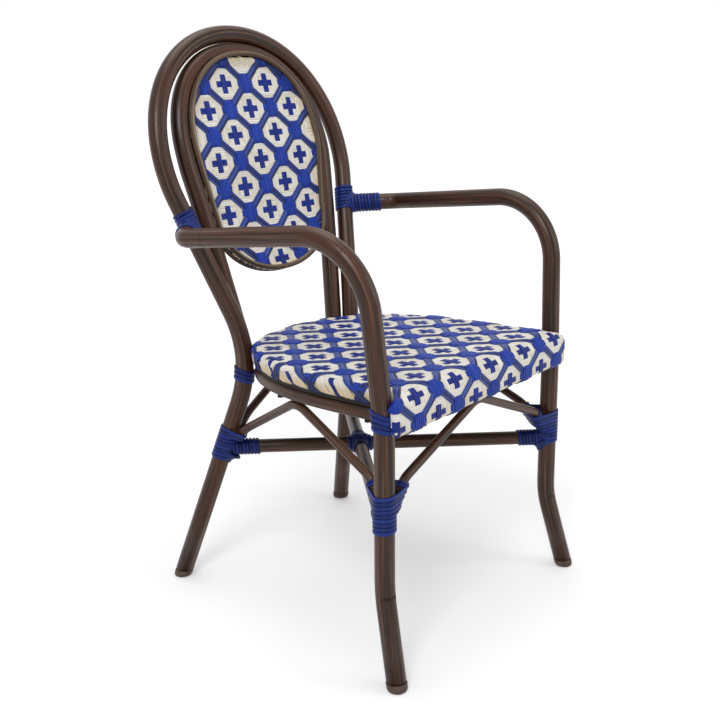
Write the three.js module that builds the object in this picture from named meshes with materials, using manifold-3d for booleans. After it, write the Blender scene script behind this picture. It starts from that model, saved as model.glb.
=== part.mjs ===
// Bistro armchair: bent tubes painted as rattan, a woven seat and oval back, and blue bindings at the joints.
// Millimetres, +Z up, the sitter faces -Y, and the sitter's right is -X.
import * as THREE from 'three';
import { mergeVertices } from 'three/addons/utils/BufferGeometryUtils.js';
import Module from 'manifold-3d';

const wasm = await Module();
wasm.setup();

// Tubes and rods
const frameTube = { od: 30, wall: 1.5 };
const railTube = { od: 22, wall: 1.5 };
const stretcherTube = { od: 23, wall: 1.5 };
const braceRod = { od: 14 };
const trimRod = { od: 9 };
const panelRod = { od: 7 };
const outerSides = 12;
const boreSides = 6;
const rodSides = 8;
const hexSides = 6;
const gap = 0.3;
const overrun = 20;

// Flat strand of the bindings
const strand = { thick: 2.4, lift: 0.35, pitch: 7.4, stretcherPitch: 5.8, between: 0.6, topShare: 0.62 };
const strandSteps = 10;
const roomSides = 18;
const bindingReach = (od) => (od / 2 + strand.lift + strand.thick) / Math.cos(Math.PI / strandSteps) + gap;

// The floor stands a little above the level that all heights here are measured from
const floorLevel = 5;

// Front legs and arms, each one tube, given for the sitter's left
const frontFoot = { x: 240, y: -187 };
const frontKnee = { x: 225, y: -151, z: 140, radius: 180 };
const armRise = { z: 387, radius: 315 };
const armCorner = { x: 246, y: -132, z: 665, radius: 106 };
const armElbow = { x: 257, y: 214, z: 623, radius: 34 };
const armJointHeight = 620;

// Outer hoop: rear legs, a kink at seat height, and a round top in a reclined plane
const rearFoot = { x: 210, y: 323 };
const kink = { x: 124.4, y: 212, z: 403, radius: 217 };
const recline = THREE.MathUtils.degToRad(17.8);
const outerHoop = { halfWidth: 208.5, rise: 212.7, spring: 338, fullness: 2.05 };
const innerHoop = {
  halfWidth: 160, crownGap: 0.8, spring: 348, fullness: 2.17, footIn: 13.8, footBack: 33, end: 8,
};
const sweepShare = 1.25;

// Oval back panel
const oval = {
  forward: 18.5, forwardFall: 0.0362, fromHoop: 0.75, bendHeight: 236, bendSlack: 1.2, drop: 117,
  lowerFullness: 2.1, thick: 5,
};

// Seat: outline, rail, frame and weave, in a plane that rises to the front
const seatSlope = Math.atan(0.04);
const seat = { halfWidth: 206.5, front: -176.4, widest: -53, back: 249, fullness: 2.5, earHalfWidth: 229 };
const rail = { height: 392, inset: 11.5, frontSetback: 12, crossSetback: 27, crossDrop: 5 };
const weave = {
  skin: 4, lift: 8, thick: 25, edgeRadius: 10, frontRadius: 22, apronThick: 9.4, apronDrop: 57,
};
const ear = { topDrop: 8, round: 9 };
const seatFrame = { width: 12 };
const crossbar = { width: 24, thick: 12, round: 3, atY: [-70, 60, 175] };
const seatScrew = { od: 6, headOd: 11, headThick: 3.2, slack: 0.5, intoFrame: 12, atY: [-96, 96] };

// Lower frame
const stretcherHeight = 244;
const brace = { bendRadius: 40, peakRadius: 45, frontForward: 5, sideInward: 0.45 };
const braceFeet = {
  front: { end: 275, bend: 303, bendOut: 45 },
  rearSide: { end: 273, bend: 289, bendOut: 38 },
  rearAcross: { end: 273, bend: 298, bendOut: 31 },
};
const foot = { height: 12, plugLength: 22, plugSlack: 0.5 };
const hoopPlug = { capThick: 1.6, length: 11 };

// Bindings: loops, and where each starts or has its middle
const legBinding = { frontLoops: 6, rearLoops: 7, frontFrom: 240, rearFrom: 229, bulge: 6, narrower: 0.3 };
const railBinding = {
  frontLoops: 4, rearLoops: 3, frontHeight: 400, rearHeight: 375, tilt: 0.4, narrower: 0.4,
};
const armBinding = { hoopLoops: 5, hoopAbove: 9, armLoops: 6, fromHoop: 3.8, narrower: 0.8 };
const stretcherBinding = { frontLoops: 5, rearLoops: 6, crossLoops: 7, fromLeg: 27.5 };

const finish = (name, color, roughness, metalness) => (
  new THREE.MeshStandardMaterial({ name, color, roughness, metalness })
);
const finishes = {
  rattan: finish('rattan', 0x4a352b, 0.45, 0.1),
  trim: finish('trim', 0x8a7355, 0.5, 0.1),
  blue: finish('blue', 0x24388f, 0.4, 0),
  weave: finish('weave', 0x5a6db0, 0.5, 0),
  rubber: finish('rubber', 0x2a2624, 0.8, 0),
  metal: finish('metal', 0x8d8f92, 0.35, 1),
};

const V = (x, y, z) => new THREE.Vector3(x, y, z);
const toBack = V(0, 1, 0);
const toFront = V(0, -1, 0);
const toRight = V(-1, 0, 0);
const toLeft = V(1, 0, 0);
const toTop = V(0, 0, 1);
const chair = new THREE.Group();

function add(name, geometry, finishName) {
  const mesh = new THREE.Mesh(geometry, finishes[finishName]);
  mesh.name = name;
  chair.add(mesh);
  return mesh;
}

// Solids: a closed mesh with merged vertices goes to manifold-3d and comes back
const mergeWithin = 1e-4;

function toSolid(geometry) {
  const bare = geometry.clone();
  bare.deleteAttribute('normal');
  bare.deleteAttribute('uv');
  const merged = mergeVertices(bare, mergeWithin);
  return new wasm.Manifold(new wasm.Mesh({
    numProp: 3,
    vertProperties: new Float32Array(merged.attributes.position.array),
    triVerts: new Uint32Array(merged.index.array),
  }));
}

function toGeometry(solid) {
  const mesh = solid.getMesh();
  const geometry = new THREE.BufferGeometry();
  geometry.setAttribute('position', new THREE.BufferAttribute(new Float32Array(mesh.vertProperties), 3));
  geometry.setIndex(new THREE.BufferAttribute(new Uint32Array(mesh.triVerts), 1));
  geometry.computeVertexNormals();
  return geometry;
}

// Closed mesh of points and triangles, turned so that its faces point out
function outward(points, index) {
  const geometry = new THREE.BufferGeometry();
  const flat = points.flatMap((p) => [p.x, p.y, p.z]);
  geometry.setAttribute('position', new THREE.BufferAttribute(new Float32Array(flat), 3));
  geometry.setIndex(index);
  if (toSolid(geometry).volume() < 0) geometry.index.array.reverse();
  geometry.computeVertexNormals();
  return geometry;
}

function cut(geometry, ...tools) {
  let solid = toSolid(geometry);
  for (const tool of tools) solid = solid.subtract(toSolid(tool));
  return toGeometry(solid);
}

// Routes: a curve whose rings sit at its own points
class Route extends THREE.Curve {
  constructor(points) {
    super();
    this.points = points;
  }

  getPoint(t) {
    const last = this.points.length - 1;
    return this.points[Math.round(t * last)].clone();
  }

  getPointAt(u) {
    return this.getPoint(u);
  }

  getTangent(t) {
    const last = this.points.length - 1;
    const k = Math.round(t * last);
    const before = this.points[Math.max(k - 1, 0)];
    const here = this.points[k];
    const after = this.points[Math.min(k + 1, last)];
    const tangent = V(0, 0, 0);
    if (k > 0) tangent.add(here.clone().sub(before).normalize());
    if (k < last) tangent.add(after.clone().sub(here).normalize());
    return tangent.normalize();
  }

  getTangentAt(u) {
    return this.getTangent(u);
  }
}

// Corners rounded to their radii, with a ring about every stepAngle of bend
const stepAngle = THREE.MathUtils.degToRad(13);

function rounded(corners, radii) {
  const points = [corners[0].clone()];
  for (let i = 1; i < corners.length - 1; i += 1) {
    const toLast = corners[i - 1].clone().sub(corners[i]).normalize();
    const toNext = corners[i + 1].clone().sub(corners[i]).normalize();
    const turn = Math.PI - toLast.angleTo(toNext);
    const reach = radii[i - 1] * Math.tan(turn / 2);
    const start = corners[i].clone().addScaledVector(toLast, reach);
    const end = corners[i].clone().addScaledVector(toNext, reach);
    const middle = toLast.clone().add(toNext).normalize();
    const centre = corners[i].clone().addScaledVector(middle, radii[i - 1] / Math.cos(turn / 2));
    const steps = Math.max(2, Math.ceil(turn / stepAngle));
    for (let k = 0; k <= steps; k += 1) {
      const share = k / steps;
      const a = Math.sin((1 - share) * turn) / Math.sin(turn);
      const b = Math.sin(share * turn) / Math.sin(turn);
      const arm = start.clone().sub(centre).multiplyScalar(a).addScaledVector(end.clone().sub(centre), b);
      points.push(centre.clone().add(arm));
    }
  }
  points.push(corners[corners.length - 1].clone());
  return points;
}

const polygon = (radius, sides) => Array.from({ length: sides }, (_, k) => {
  const angle = (k / sides) * 2 * Math.PI;
  return new THREE.Vector2(radius * Math.cos(angle), radius * Math.sin(angle));
});

// Tube or rod along a route; a bore is open at both ends
function tube(points, od, wall = 0, sides = outerSides) {
  const shape = new THREE.Shape(polygon(od / 2, sides));
  if (wall) shape.holes.push(new THREE.Path(polygon(od / 2 - wall, boreSides).reverse()));
  const extrudePath = new Route(points);
  return new THREE.ExtrudeGeometry(shape, { steps: points.length - 1, extrudePath, bevelEnabled: false });
}

// What must stay clear round a tube of that outer diameter: bare, or with its binding on
const bareRoom = (points, od) => tube(points, od + 2 * gap, 0, roomSides);
const boundRoom = (points, od) => (
  tube(points, (2 * bindingReach(od)) / Math.cos(Math.PI / roomSides), 0, roomSides)
);

// Ring whose route closes on itself
class Loop extends Route {
  getTangent(t) {
    const count = this.points.length - 1;
    const k = Math.round(t * count) % count;
    const before = this.points[(k - 1 + count) % count];
    const after = this.points[k + 1];
    const here = this.points[k];
    return here.clone().sub(before).normalize().add(after.clone().sub(here).normalize()).normalize();
  }
}

const ring = (points, od, sides = rodSides) => new THREE.TubeGeometry(
  new Loop([...points, points[0].clone()]), points.length, od / 2, sides, true,
);

const mirrored = (points) => points.map((p) => V(-p.x, p.y, p.z));

// Hoop plane: u across, v up the recline, off backwards along its normal
const hoopPoint = (u, v, off = 0) => V(
  u,
  kink.y + v * Math.sin(recline) + off * Math.cos(recline),
  kink.z + v * Math.cos(recline) - off * Math.sin(recline),
);

// Quarter of a full oval from its side up to its crown, as [u, v] pairs
function quarter(halfWidth, rise, spring, fullness, from, steps) {
  return Array.from({ length: steps + 1 }, (_, k) => {
    const t = from + (k / steps) * (Math.PI / 2 - from);
    const c = Math.abs(Math.cos(t)) ** (2 / fullness);
    const s = Math.sign(Math.sin(t)) * Math.abs(Math.sin(t)) ** (2 / fullness);
    return [halfWidth * c, spring + rise * s];
  });
}

// Angle at which a straight side from (u, v) meets the oval without a corner
function meeting(halfWidth, rise, spring, fullness, u, v) {
  const scanFrom = -1;
  const scan = 400;
  let best = 0;
  let least = Infinity;
  for (let k = 0; k < scan; k += 1) {
    const t = scanFrom * (1 - k / scan);
    const [[u0, v0]] = quarter(halfWidth, rise, spring, fullness, t, 1);
    const [[u1, v1]] = quarter(halfWidth, rise, spring, fullness, t - scanFrom / scan, 1);
    const cross = Math.abs((u0 - u) * (v1 - v0) - (v0 - v) * (u1 - u0)) / Math.hypot(u1 - u0, v1 - v0);
    if (cross < least) {
      least = cross;
      best = t;
    }
  }
  return best;
}

const arcSteps = 9;

function hoopSide(hoop, rise, u, v) {
  const from = meeting(hoop.halfWidth, rise, hoop.spring, hoop.fullness, u, v);
  return quarter(hoop.halfWidth, rise, hoop.spring, hoop.fullness, from, arcSteps);
}

// Outer back hoop
const outerSide = hoopSide(outerHoop, outerHoop.rise, kink.x, 0);
const footLift = floorLevel + foot.height;
const rearLegDir = V(kink.x - rearFoot.x, kink.y - rearFoot.y, kink.z).normalize();
const alongLeg = (x, y, dir, z) => V(x, y, 0).addScaledVector(dir, z / dir.z);
const rearLegEnd = alongLeg(rearFoot.x, rearFoot.y, rearLegDir, footLift);
const outerHalf = [
  ...rounded([rearLegEnd, V(kink.x, kink.y, kink.z), hoopPoint(...outerSide[0])], [kink.radius]),
  ...outerSide.slice(1).map(([u, v]) => hoopPoint(u, v)),
];
const outerRoute = [...outerHalf, ...mirrored(outerHalf.slice(0, -1)).reverse()];
add('outer_back_hoop', tube(outerRoute, frameTube.od, frameTube.wall), 'rattan');

// Inner back hoop: nests under the crown of the outer one and passes behind it on the way down
const innerRise = outerHoop.spring + outerHoop.rise - frameTube.od - innerHoop.crownGap - innerHoop.spring;
const innerFoot = kink.x - innerHoop.footIn;
const innerSide = hoopSide(innerHoop, innerRise, innerFoot, 0);

function sweepBack(v) {
  const down = Math.max((innerHoop.spring - v) / innerHoop.spring, 0);
  return innerHoop.footBack * down ** sweepShare;
}

const innerLegSteps = 4;
const innerLegAt = (v) => innerFoot + ((innerSide[0][0] - innerFoot) * v) / innerSide[0][1];
const innerHalf = Array.from({ length: innerLegSteps }, (_, k) => {
  const v = innerHoop.end + (k / innerLegSteps) * (innerSide[0][1] - innerHoop.end);
  return hoopPoint(innerLegAt(v), v, sweepBack(v));
});
innerHalf.push(...innerSide.map(([u, v]) => hoopPoint(u, v, sweepBack(v))));
const innerRoute = [...innerHalf, ...mirrored(innerHalf.slice(0, -1)).reverse()];

// Oval rings that lie against the inner hoop and its legs, and close in a round bend that hangs free.
// They pass before the hoop's crown, and lie more and more inside the hoop towards that bend.
const ovalQuarterSteps = 7;
const hoopCrown = innerHoop.spring + innerRise;
const ringForward = (v) => oval.forward - oval.forwardFall * (hoopCrown - Math.max(v, oval.bendHeight));
const ringPoint = (u, v, behindFront) => (
  hoopPoint(u, v, sweepBack(Math.max(v, oval.bendHeight)) - ringForward(v) + behindFront)
);

function ovalRoute(behindFront, rodOd, extraInset = 0) {
  const reach = frameTube.od / 2 + rodOd / 2 + oval.fromHoop;
  const insetAt = (v) => Math.sqrt(reach ** 2 - (behindFront - ringForward(v)) ** 2) + extraInset;
  const { halfWidth, spring, fullness } = innerHoop;
  const hoop = quarter(halfWidth, innerRise, spring, fullness, 0, ovalQuarterSteps);
  const upper = hoop.map(([u, v], k) => {
    const t = (k / ovalQuarterSteps) * (Math.PI / 2);
    const power = 2 - 2 / fullness;
    const out = new THREE.Vector2(Math.cos(t) ** power / halfWidth, Math.sin(t) ** power / innerRise);
    out.normalize();
    return [u - out.x * insetAt(v), v - out.y * insetAt(v)];
  });
  const inset = insetAt(oval.bendHeight);
  const bendHalfWidth = innerLegAt(oval.bendHeight) - inset - oval.bendSlack;
  const bend = [bendHalfWidth, oval.drop - inset, -oval.bendHeight, oval.lowerFullness];
  const from = meeting(...bend, upper[0][0], -upper[0][1]);
  const lower = quarter(...bend, from, ovalQuarterSteps).map(([u, v]) => [u, -v]);
  const half = [...lower.reverse(), ...upper];
  const points = [...half, ...half.slice(1, -1).reverse().map(([u, v]) => [-u, v])];
  return points.map(([u, v]) => ringPoint(u, v, behindFront));
}

const panelBehind = trimRod.od / 2 + panelRod.od / 2 + gap;
add('back_trim_ring_front', ring(ovalRoute(0, trimRod.od), trimRod.od), 'trim');
add('back_panel_frame', ring(ovalRoute(panelBehind, panelRod.od), panelRod.od, hexSides), 'metal');
add('back_trim_ring_rear', ring(ovalRoute(2 * panelBehind, trimRod.od), trimRod.od), 'trim');

// Woven back panel: a plate inside its frame rod, bent as the inner hoop is
const planeBack = V(0, Math.cos(recline), -Math.sin(recline));

function backPanel() {
  const edge = ovalRoute(panelBehind, panelRod.od, panelRod.od / 2 + gap);
  const moved = (distance) => edge.map((p) => p.clone().addScaledVector(planeBack, distance));
  const faces = [moved(-oval.thick / 2), moved(oval.thick / 2)];
  const count = faces[0].length;
  const half = count / 2;
  const at = (face, k) => face * count + ((k + count) % count);
  const index = [];
  // The point k steps up on one side lies across from the point k steps up on the other
  for (let k = 0; k < half; k += 1) {
    for (const [a, b, c] of [[k, k + 1, -k - 1], [k, -k - 1, -k]]) {
      if ((a + count) % count !== (c + count) % count && (b + count) % count !== (c + count) % count) {
        index.push(at(0, a), at(0, b), at(0, c), at(1, a), at(1, c), at(1, b));
      }
    }
  }
  for (let k = 0; k < count; k += 1) {
    index.push(at(0, k), at(1, k + 1), at(0, k + 1), at(0, k), at(1, k), at(1, k + 1));
  }
  return outward(faces.flat(), index);
}
add('back_weave_panel', backPanel(), 'weave');

// Place on a route at a height, with the direction of the route there
function onRoute(points, height) {
  for (let k = 0; k < points.length - 1; k += 1) {
    const [a, b] = [points[k], points[k + 1]];
    if ((a.z - height) * (b.z - height) <= 0 && a.z !== b.z) {
      const share = (height - a.z) / (b.z - a.z);
      return { point: a.clone().lerp(b, share), dir: b.clone().sub(a).normalize() };
    }
  }
  throw new Error(`the route never reaches ${height}`);
}

// Seat outline in plan, inset all round, from the front on the left round the back to the front on the right
const seatSteps = 10;

function seatOutline(inset, front = seat.front + inset) {
  const half = [new THREE.Vector2(seat.halfWidth - inset, front)];
  for (let k = 0; k <= seatSteps; k += 1) {
    const t = (k / seatSteps) * (Math.PI / 2);
    const x = (seat.halfWidth - inset) * Math.cos(t) ** (2 / seat.fullness);
    const y = seat.widest + (seat.back - inset - seat.widest) * Math.sin(t) ** (2 / seat.fullness);
    half.push(new THREE.Vector2(k === seatSteps ? 0 : x, y));
  }
  const other = half.slice(0, -1).map((p) => new THREE.Vector2(-p.x, p.y)).reverse();
  return [...half, ...other];
}

const tilt = new THREE.Matrix4().makeRotationX(-seatSlope).setPosition(0, 0, rail.height);
const tilted = (geometry) => geometry.applyMatrix4(tilt);
const tiltedPoint = (x, y, z = 0) => V(x, y, z).applyMatrix4(tilt);

// Front legs and arms: foot, knee, gentle lean, corner, arm, elbow, and into the hoop's side
const hoopJoint = onRoute(outerHalf, armJointHeight);
const frontLegDir = V(frontKnee.x - frontFoot.x, frontKnee.y - frontFoot.y, frontKnee.z).normalize();
const legRoute = rounded(
  [
    alongLeg(frontFoot.x, frontFoot.y, frontLegDir, footLift),
    V(frontKnee.x, frontKnee.y, frontKnee.z),
    V(frontKnee.x, frontKnee.y, armRise.z),
    V(armCorner.x, armCorner.y, armCorner.z),
    V(armElbow.x, armElbow.y, armElbow.z),
    hoopJoint.point,
  ],
  [frontKnee.radius, armRise.radius, armCorner.radius, armElbow.radius],
);
const armAndLeg = cut(tube(legRoute, frameTube.od, frameTube.wall), boundRoom(outerHalf, frameTube.od));

function mirror(geometry) {
  const copy = geometry.clone().applyMatrix4(new THREE.Matrix4().makeScale(-1, 1, 1));
  const bare = copy.index ? copy : mergeVertices(copy);
  const index = Array.from(bare.index.array);
  for (let k = 0; k < index.length; k += 3) [index[k + 1], index[k + 2]] = [index[k + 2], index[k + 1]];
  bare.setIndex(index);
  bare.computeVertexNormals();
  return bare;
}

function addPair(name, geometry, finishName) {
  add(`${name}_left`, geometry, finishName);
  add(`${name}_right`, mirror(geometry), finishName);
}
addPair('front_leg_and_arm', armAndLeg, 'rattan');
add('inner_back_hoop', tube(innerRoute, frameTube.od, frameTube.wall), 'rattan');

// Seat rail, a bent tube that passes inside all four legs, with a straight one across its front
const railRoute = seatOutline(rail.inset, seat.front + rail.frontSetback).map((p) => tiltedPoint(p.x, p.y));
const railX = seat.halfWidth - rail.inset;

// Place on the rail's left side at that y
function railAtY(y) {
  const k = railRoute.findIndex((p, i) => i > 0 && p.y > y && railRoute[i - 1].y <= y);
  const share = (y - railRoute[k - 1].y) / (railRoute[k].y - railRoute[k - 1].y);
  return railRoute[k - 1].clone().lerp(railRoute[k], share);
}
const crossY = seat.front + rail.crossSetback;
const crossRoute = [-railX, railX].map((x) => tiltedPoint(x, crossY, -rail.crossDrop));
const screwPlaces = seatScrew.atY.map((y) => [railAtY(y).x, y]);

const railTop = railTube.od / 2;
const screwHole = (x, y) => {
  const top = railTop + gap + seatScrew.intoFrame + seatScrew.slack;
  return tilted(tube([V(x, y, -railTube.od), V(x, y, top)], seatScrew.od + 2 * seatScrew.slack, 0, rodSides));
};
const screwHoles = screwPlaces.flatMap(([x, y]) => [screwHole(x, y), screwHole(-x, y)]);
const crossRail = tube(crossRoute, railTube.od, railTube.wall);
add('seat_rail', cut(tube(railRoute, railTube.od, railTube.wall), ...screwHoles), 'rattan');
add('front_seat_rail', cut(crossRail, bareRoom(railRoute, railTube.od)), 'rattan');

// Woven seat: a thin shell with rounded edges, an apron at the front and ears that pass before the legs
const weaveBase = railTop + weave.lift;
const weaveTop = weaveBase + weave.thick;
const apronBase = weaveTop - weave.apronDrop;
const planShape = (points) => new THREE.Shape(points);

function prism(points, z0, z1) {
  const shape = planShape(points);
  return new THREE.ExtrudeGeometry(shape, { depth: z1 - z0, bevelEnabled: false }).translate(0, 0, z0);
}

// Rectangle with round corners, from its low left corner to its high right one
function roundedBox(left, low, right, high, r) {
  const shape = new THREE.Shape();
  shape.moveTo(left + r, low);
  shape.absarc(right - r, low + r, r, -Math.PI / 2, 0, false);
  shape.absarc(right - r, high - r, r, 0, Math.PI / 2, false);
  shape.absarc(left + r, high - r, r, Math.PI / 2, Math.PI, false);
  shape.absarc(left + r, low + r, r, Math.PI, (3 * Math.PI) / 2, false);
  return shape;
}

// Extrusions whose profile stands in the YZ plane and runs along X, or in the XZ plane and runs along -Y
const alongX = new THREE.Matrix4().makeBasis(toBack, toTop, toLeft);
const alongFront = new THREE.Matrix4().makeBasis(toLeft, toTop, toFront);

function seatPlate() {
  const round = weave.edgeRadius;
  return new THREE.ExtrudeGeometry(planShape(seatOutline(0, seat.front + weave.frontRadius - round)), {
    depth: weave.thick - 2 * round,
    bevelThickness: round,
    bevelSize: round,
    bevelOffset: -round,
    bevelSegments: 2,
  }).translate(0, 0, weaveBase + round);
}

// Front of the seat, where the weave rolls over a round edge and drops
function seatFall() {
  const r = weave.frontRadius;
  const profile = new THREE.Shape();
  profile.moveTo(2 * r, apronBase);
  profile.lineTo(2 * r, weaveTop);
  profile.lineTo(r, weaveTop);
  profile.absarc(r, weaveTop - r, r, Math.PI / 2, Math.PI, false);
  profile.lineTo(0, apronBase);
  const width = 2 * (seat.halfWidth - weave.skin);
  const fall = new THREE.ExtrudeGeometry(profile, { depth: width, bevelEnabled: false, curveSegments: 6 });
  return fall.applyMatrix4(alongX).translate(-width / 2, seat.front, 0);
}

function seatEars() {
  const { earHalfWidth, front } = seat;
  const depth = weave.apronThick;
  const shape = roundedBox(-earHalfWidth, apronBase, earHalfWidth, weaveTop - ear.topDrop, ear.round);
  const slab = new THREE.ExtrudeGeometry(shape, { depth, bevelEnabled: false, curveSegments: 4 });
  return slab.applyMatrix4(alongFront).translate(0, front + depth, 0);
}

function seatShell() {
  const whole = toSolid(seatPlate()).add(toSolid(seatFall())).add(toSolid(seatEars()));
  const inside = seatOutline(weave.skin, seat.front + weave.frontRadius);
  const behindApron = seatOutline(weave.skin, seat.front + weave.apronThick);
  const hollow = toSolid(prism(inside, -2 * overrun, weaveTop - weave.skin))
    .add(toSolid(prism(behindApron, -2 * overrun, weaveTop - weave.frontRadius)));
  return tilted(toGeometry(whole.subtract(hollow)));
}
const legRooms = {
  front_left: boundRoom(legRoute, frameTube.od),
  front_right: boundRoom(mirrored(legRoute), frameTube.od),
  rear_left: boundRoom(outerHalf, frameTube.od),
  rear_right: boundRoom(mirrored(outerHalf), frameTube.od),
};
add('seat_weave', cut(seatShell(), ...Object.values(legRooms)), 'weave');

// Seat frame inside the weave, on the rail, with crossbars under the woven top
const frameFront = seat.front + weave.frontRadius + gap;
const frameInset = weave.skin + gap;
const frameLow = railTop + gap;
const frameHigh = weaveTop - weave.skin - gap;
const frameInner = seatOutline(frameInset + seatFrame.width, frameFront + seatFrame.width);
const frameShape = planShape(seatOutline(frameInset, frameFront));
frameShape.holes.push(new THREE.Path([...frameInner].reverse()));
const frameBar = new THREE.ExtrudeGeometry(frameShape, { depth: frameHigh - frameLow, bevelEnabled: false });
add('seat_frame', cut(tilted(frameBar.translate(0, 0, frameLow)), ...screwHoles), 'metal');

// Crossbars between the frame's inner sides
const insideFrame = prism(
  seatOutline(frameInset + seatFrame.width + gap, frameFront + seatFrame.width), frameLow, frameHigh,
);

function crossbarAt(y) {
  const { width, thick, round } = crossbar;
  const shape = roundedBox(-width / 2, frameHigh - thick, width / 2, frameHigh, round);
  const depth = 2 * seat.halfWidth;
  const bar = new THREE.ExtrudeGeometry(shape, { depth, bevelEnabled: false, curveSegments: 2 });
  bar.applyMatrix4(alongX).translate(-depth / 2, y, 0);
  return tilted(toGeometry(toSolid(bar).intersect(toSolid(insideFrame))));
}
['front', 'middle', 'rear'].forEach((name, k) => (
  add(`seat_crossbar_${name}`, crossbarAt(crossbar.atY[k]), 'metal')
));

// Seat screws from under the rail into the frame
function screw([x, y]) {
  const headTop = -railTop - gap;
  const headBase = headTop - seatScrew.headThick;
  const shankTop = frameLow + seatScrew.intoFrame;
  const head = tube([V(x, y, headBase), V(x, y, headTop)], seatScrew.headOd, 0, hexSides);
  const shank = tube([V(x, y, headTop - gap), V(x, y, shankTop)], seatScrew.od, 0, rodSides);
  return tilted(toGeometry(toSolid(head).add(toSolid(shank))));
}
['front', 'rear'].forEach((name, k) => addPair(`seat_screw_${name}`, screw(screwPlaces[k]), 'metal'));

// Stretchers: one whole diagonal, and two halves that meet it at the crossing
const frontLegAt = onRoute(legRoute, stretcherHeight);
const rearLegAt = onRoute(outerHalf, stretcherHeight);
const acrossX = ({ x, y, z }) => V(-x, y, z);
const longRoute = [acrossX(rearLegAt.point), frontLegAt.point.clone()];
const crossShare = longRoute[0].x / (longRoute[0].x - longRoute[1].x);
const crossing = longRoute[0].clone().lerp(longRoute[1], crossShare);
const halfFront = [acrossX(frontLegAt.point), crossing];
const halfRear = [rearLegAt.point, crossing];
const crossRoom = boundRoom(longRoute, stretcherTube.od);
const stretcher = (route) => tube(route, stretcherTube.od, stretcherTube.wall);
add('long_stretcher', cut(stretcher(longRoute), legRooms.front_left, legRooms.rear_right), 'rattan');
add('short_stretcher_front', cut(stretcher(halfFront), legRooms.front_right, crossRoom), 'rattan');
add('short_stretcher_rear', cut(stretcher(halfRear), legRooms.rear_left, crossRoom), 'rattan');

// Braces: rods that rise off one leg, arch up under the seat rail and come down on another, coped to both

// Direction square to an axis that points most nearly that way
const squareTo = (axis, toward) => toward.clone().addScaledVector(axis, -toward.dot(axis)).normalize();

// Place that far from a leg's axis, at the height given
function besideLeg(route, toward, height, distance) {
  const out = squareTo(onRoute(route, height).dir, toward);
  return onRoute(route, height - out.z * distance).point.addScaledVector(out, distance);
}

// A brace's foot on a leg: its lower end against the leg, and the place where it bends away
const braceFoot = (route, toward, { end, bend, bendOut }) => ({
  end: besideLeg(route, toward, end, (frameTube.od + braceRod.od) / 2 + gap),
  bend: besideLeg(route, toward, bend, bendOut),
});

function braceRoute({ end: endA, bend: bendA }, { end: endB, bend: bendB }, peak) {
  const corner = peak.clone();
  const settle = 8;
  for (let k = 0; k < settle; k += 1) {
    const half = bendA.clone().sub(corner).angleTo(bendB.clone().sub(corner)) / 2;
    corner.z = peak.z + brace.peakRadius * (1 / Math.sin(half) - 1);
  }
  return rounded([endA, bendA, corner, bendB, endB], [brace.bendRadius, brace.peakRadius, brace.bendRadius]);
}

const underRail = (railTube.od + braceRod.od) / 2 + gap;
const frontFeet = {
  side: braceFoot(legRoute, V(-brace.sideInward, 1, 0), braceFeet.front),
  across: braceFoot(legRoute, toRight, braceFeet.front),
};
const rearFeet = {
  side: braceFoot(outerHalf, toFront, braceFeet.rearSide),
  across: braceFoot(outerHalf, toRight, braceFeet.rearAcross),
};
const farSide = ({ end, bend }) => ({ end: acrossX(end), bend: acrossX(bend) });
const sidePeak = railAtY((frontLegAt.point.y + rearLegAt.point.y) / 2).sub(V(0, 0, underRail));
const frontPeak = tiltedPoint(0, crossY - brace.frontForward, -rail.crossDrop).sub(V(0, 0, underRail));
const rearPeak = railRoute[Math.floor(railRoute.length / 2)].clone().sub(V(0, 0, underRail));
const sideBrace = braceRoute(frontFeet.side, rearFeet.side, sidePeak);
const frontBrace = braceRoute(frontFeet.across, farSide(frontFeet.across), frontPeak);
const rearBrace = braceRoute(rearFeet.across, farSide(rearFeet.across), rearPeak);
const bareLegs = [legRoute, mirrored(legRoute), outerHalf, mirrored(outerHalf)].map((route) => (
  bareRoom(route, frameTube.od)
));
const braceOn = (route) => cut(tube(route, braceRod.od, 0, rodSides), ...bareLegs);
addPair('brace', braceOn(sideBrace), 'rattan');
add('brace_front', braceOn(frontBrace), 'rattan');
add('brace_rear', braceOn(rearBrace), 'rattan');

// Rubber feet: a cap on each leg's end, cut flat on the floor, with a plug up the bore
const plugOd = frameTube.od - 2 * frameTube.wall - 2 * foot.plugSlack;
const plugFlatOd = plugOd * Math.cos(Math.PI / boreSides);

function rubberFoot(x, y, dir) {
  const [low, end] = [-overrun, footLift - gap].map((z) => alongLeg(x, y, dir, z));
  const cap = toSolid(tube([low, end], frameTube.od, 0, roomSides));
  const plugTop = end.clone().addScaledVector(dir, foot.plugLength);
  const plug = toSolid(tube([alongLeg(x, y, dir, footLift / 2), plugTop], plugFlatOd, 0, roomSides / 2));
  const far = frameTube.od * 2;
  const floor = new THREE.BoxGeometry(far, far, overrun * 2).translate(x, y, floorLevel - overrun);
  return toGeometry(cap.add(plug).subtract(toSolid(floor)));
}
addPair('foot_front', rubberFoot(frontFoot.x, frontFoot.y, frontLegDir), 'rubber');
addPair('foot_rear', rubberFoot(rearFoot.x, rearFoot.y, rearLegDir), 'rubber');

// Plugs in the inner hoop's two lower ends
const innerDir = innerHalf[1].clone().sub(innerHalf[0]).normalize();
const fromInnerEnd = (distance) => innerHalf[0].clone().addScaledVector(innerDir, distance);
const capOuter = fromInnerEnd(-gap - hoopPlug.capThick);
const innerCap = toSolid(tube([capOuter, fromInnerEnd(-gap)], frameTube.od, 0, outerSides));
const innerPlug = toSolid(tube([capOuter, fromInnerEnd(hoopPlug.length)], plugFlatOd, 0, roomSides / 2));
addPair('inner_hoop_plug', toGeometry(innerCap.add(innerPlug)), 'rubber');

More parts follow.
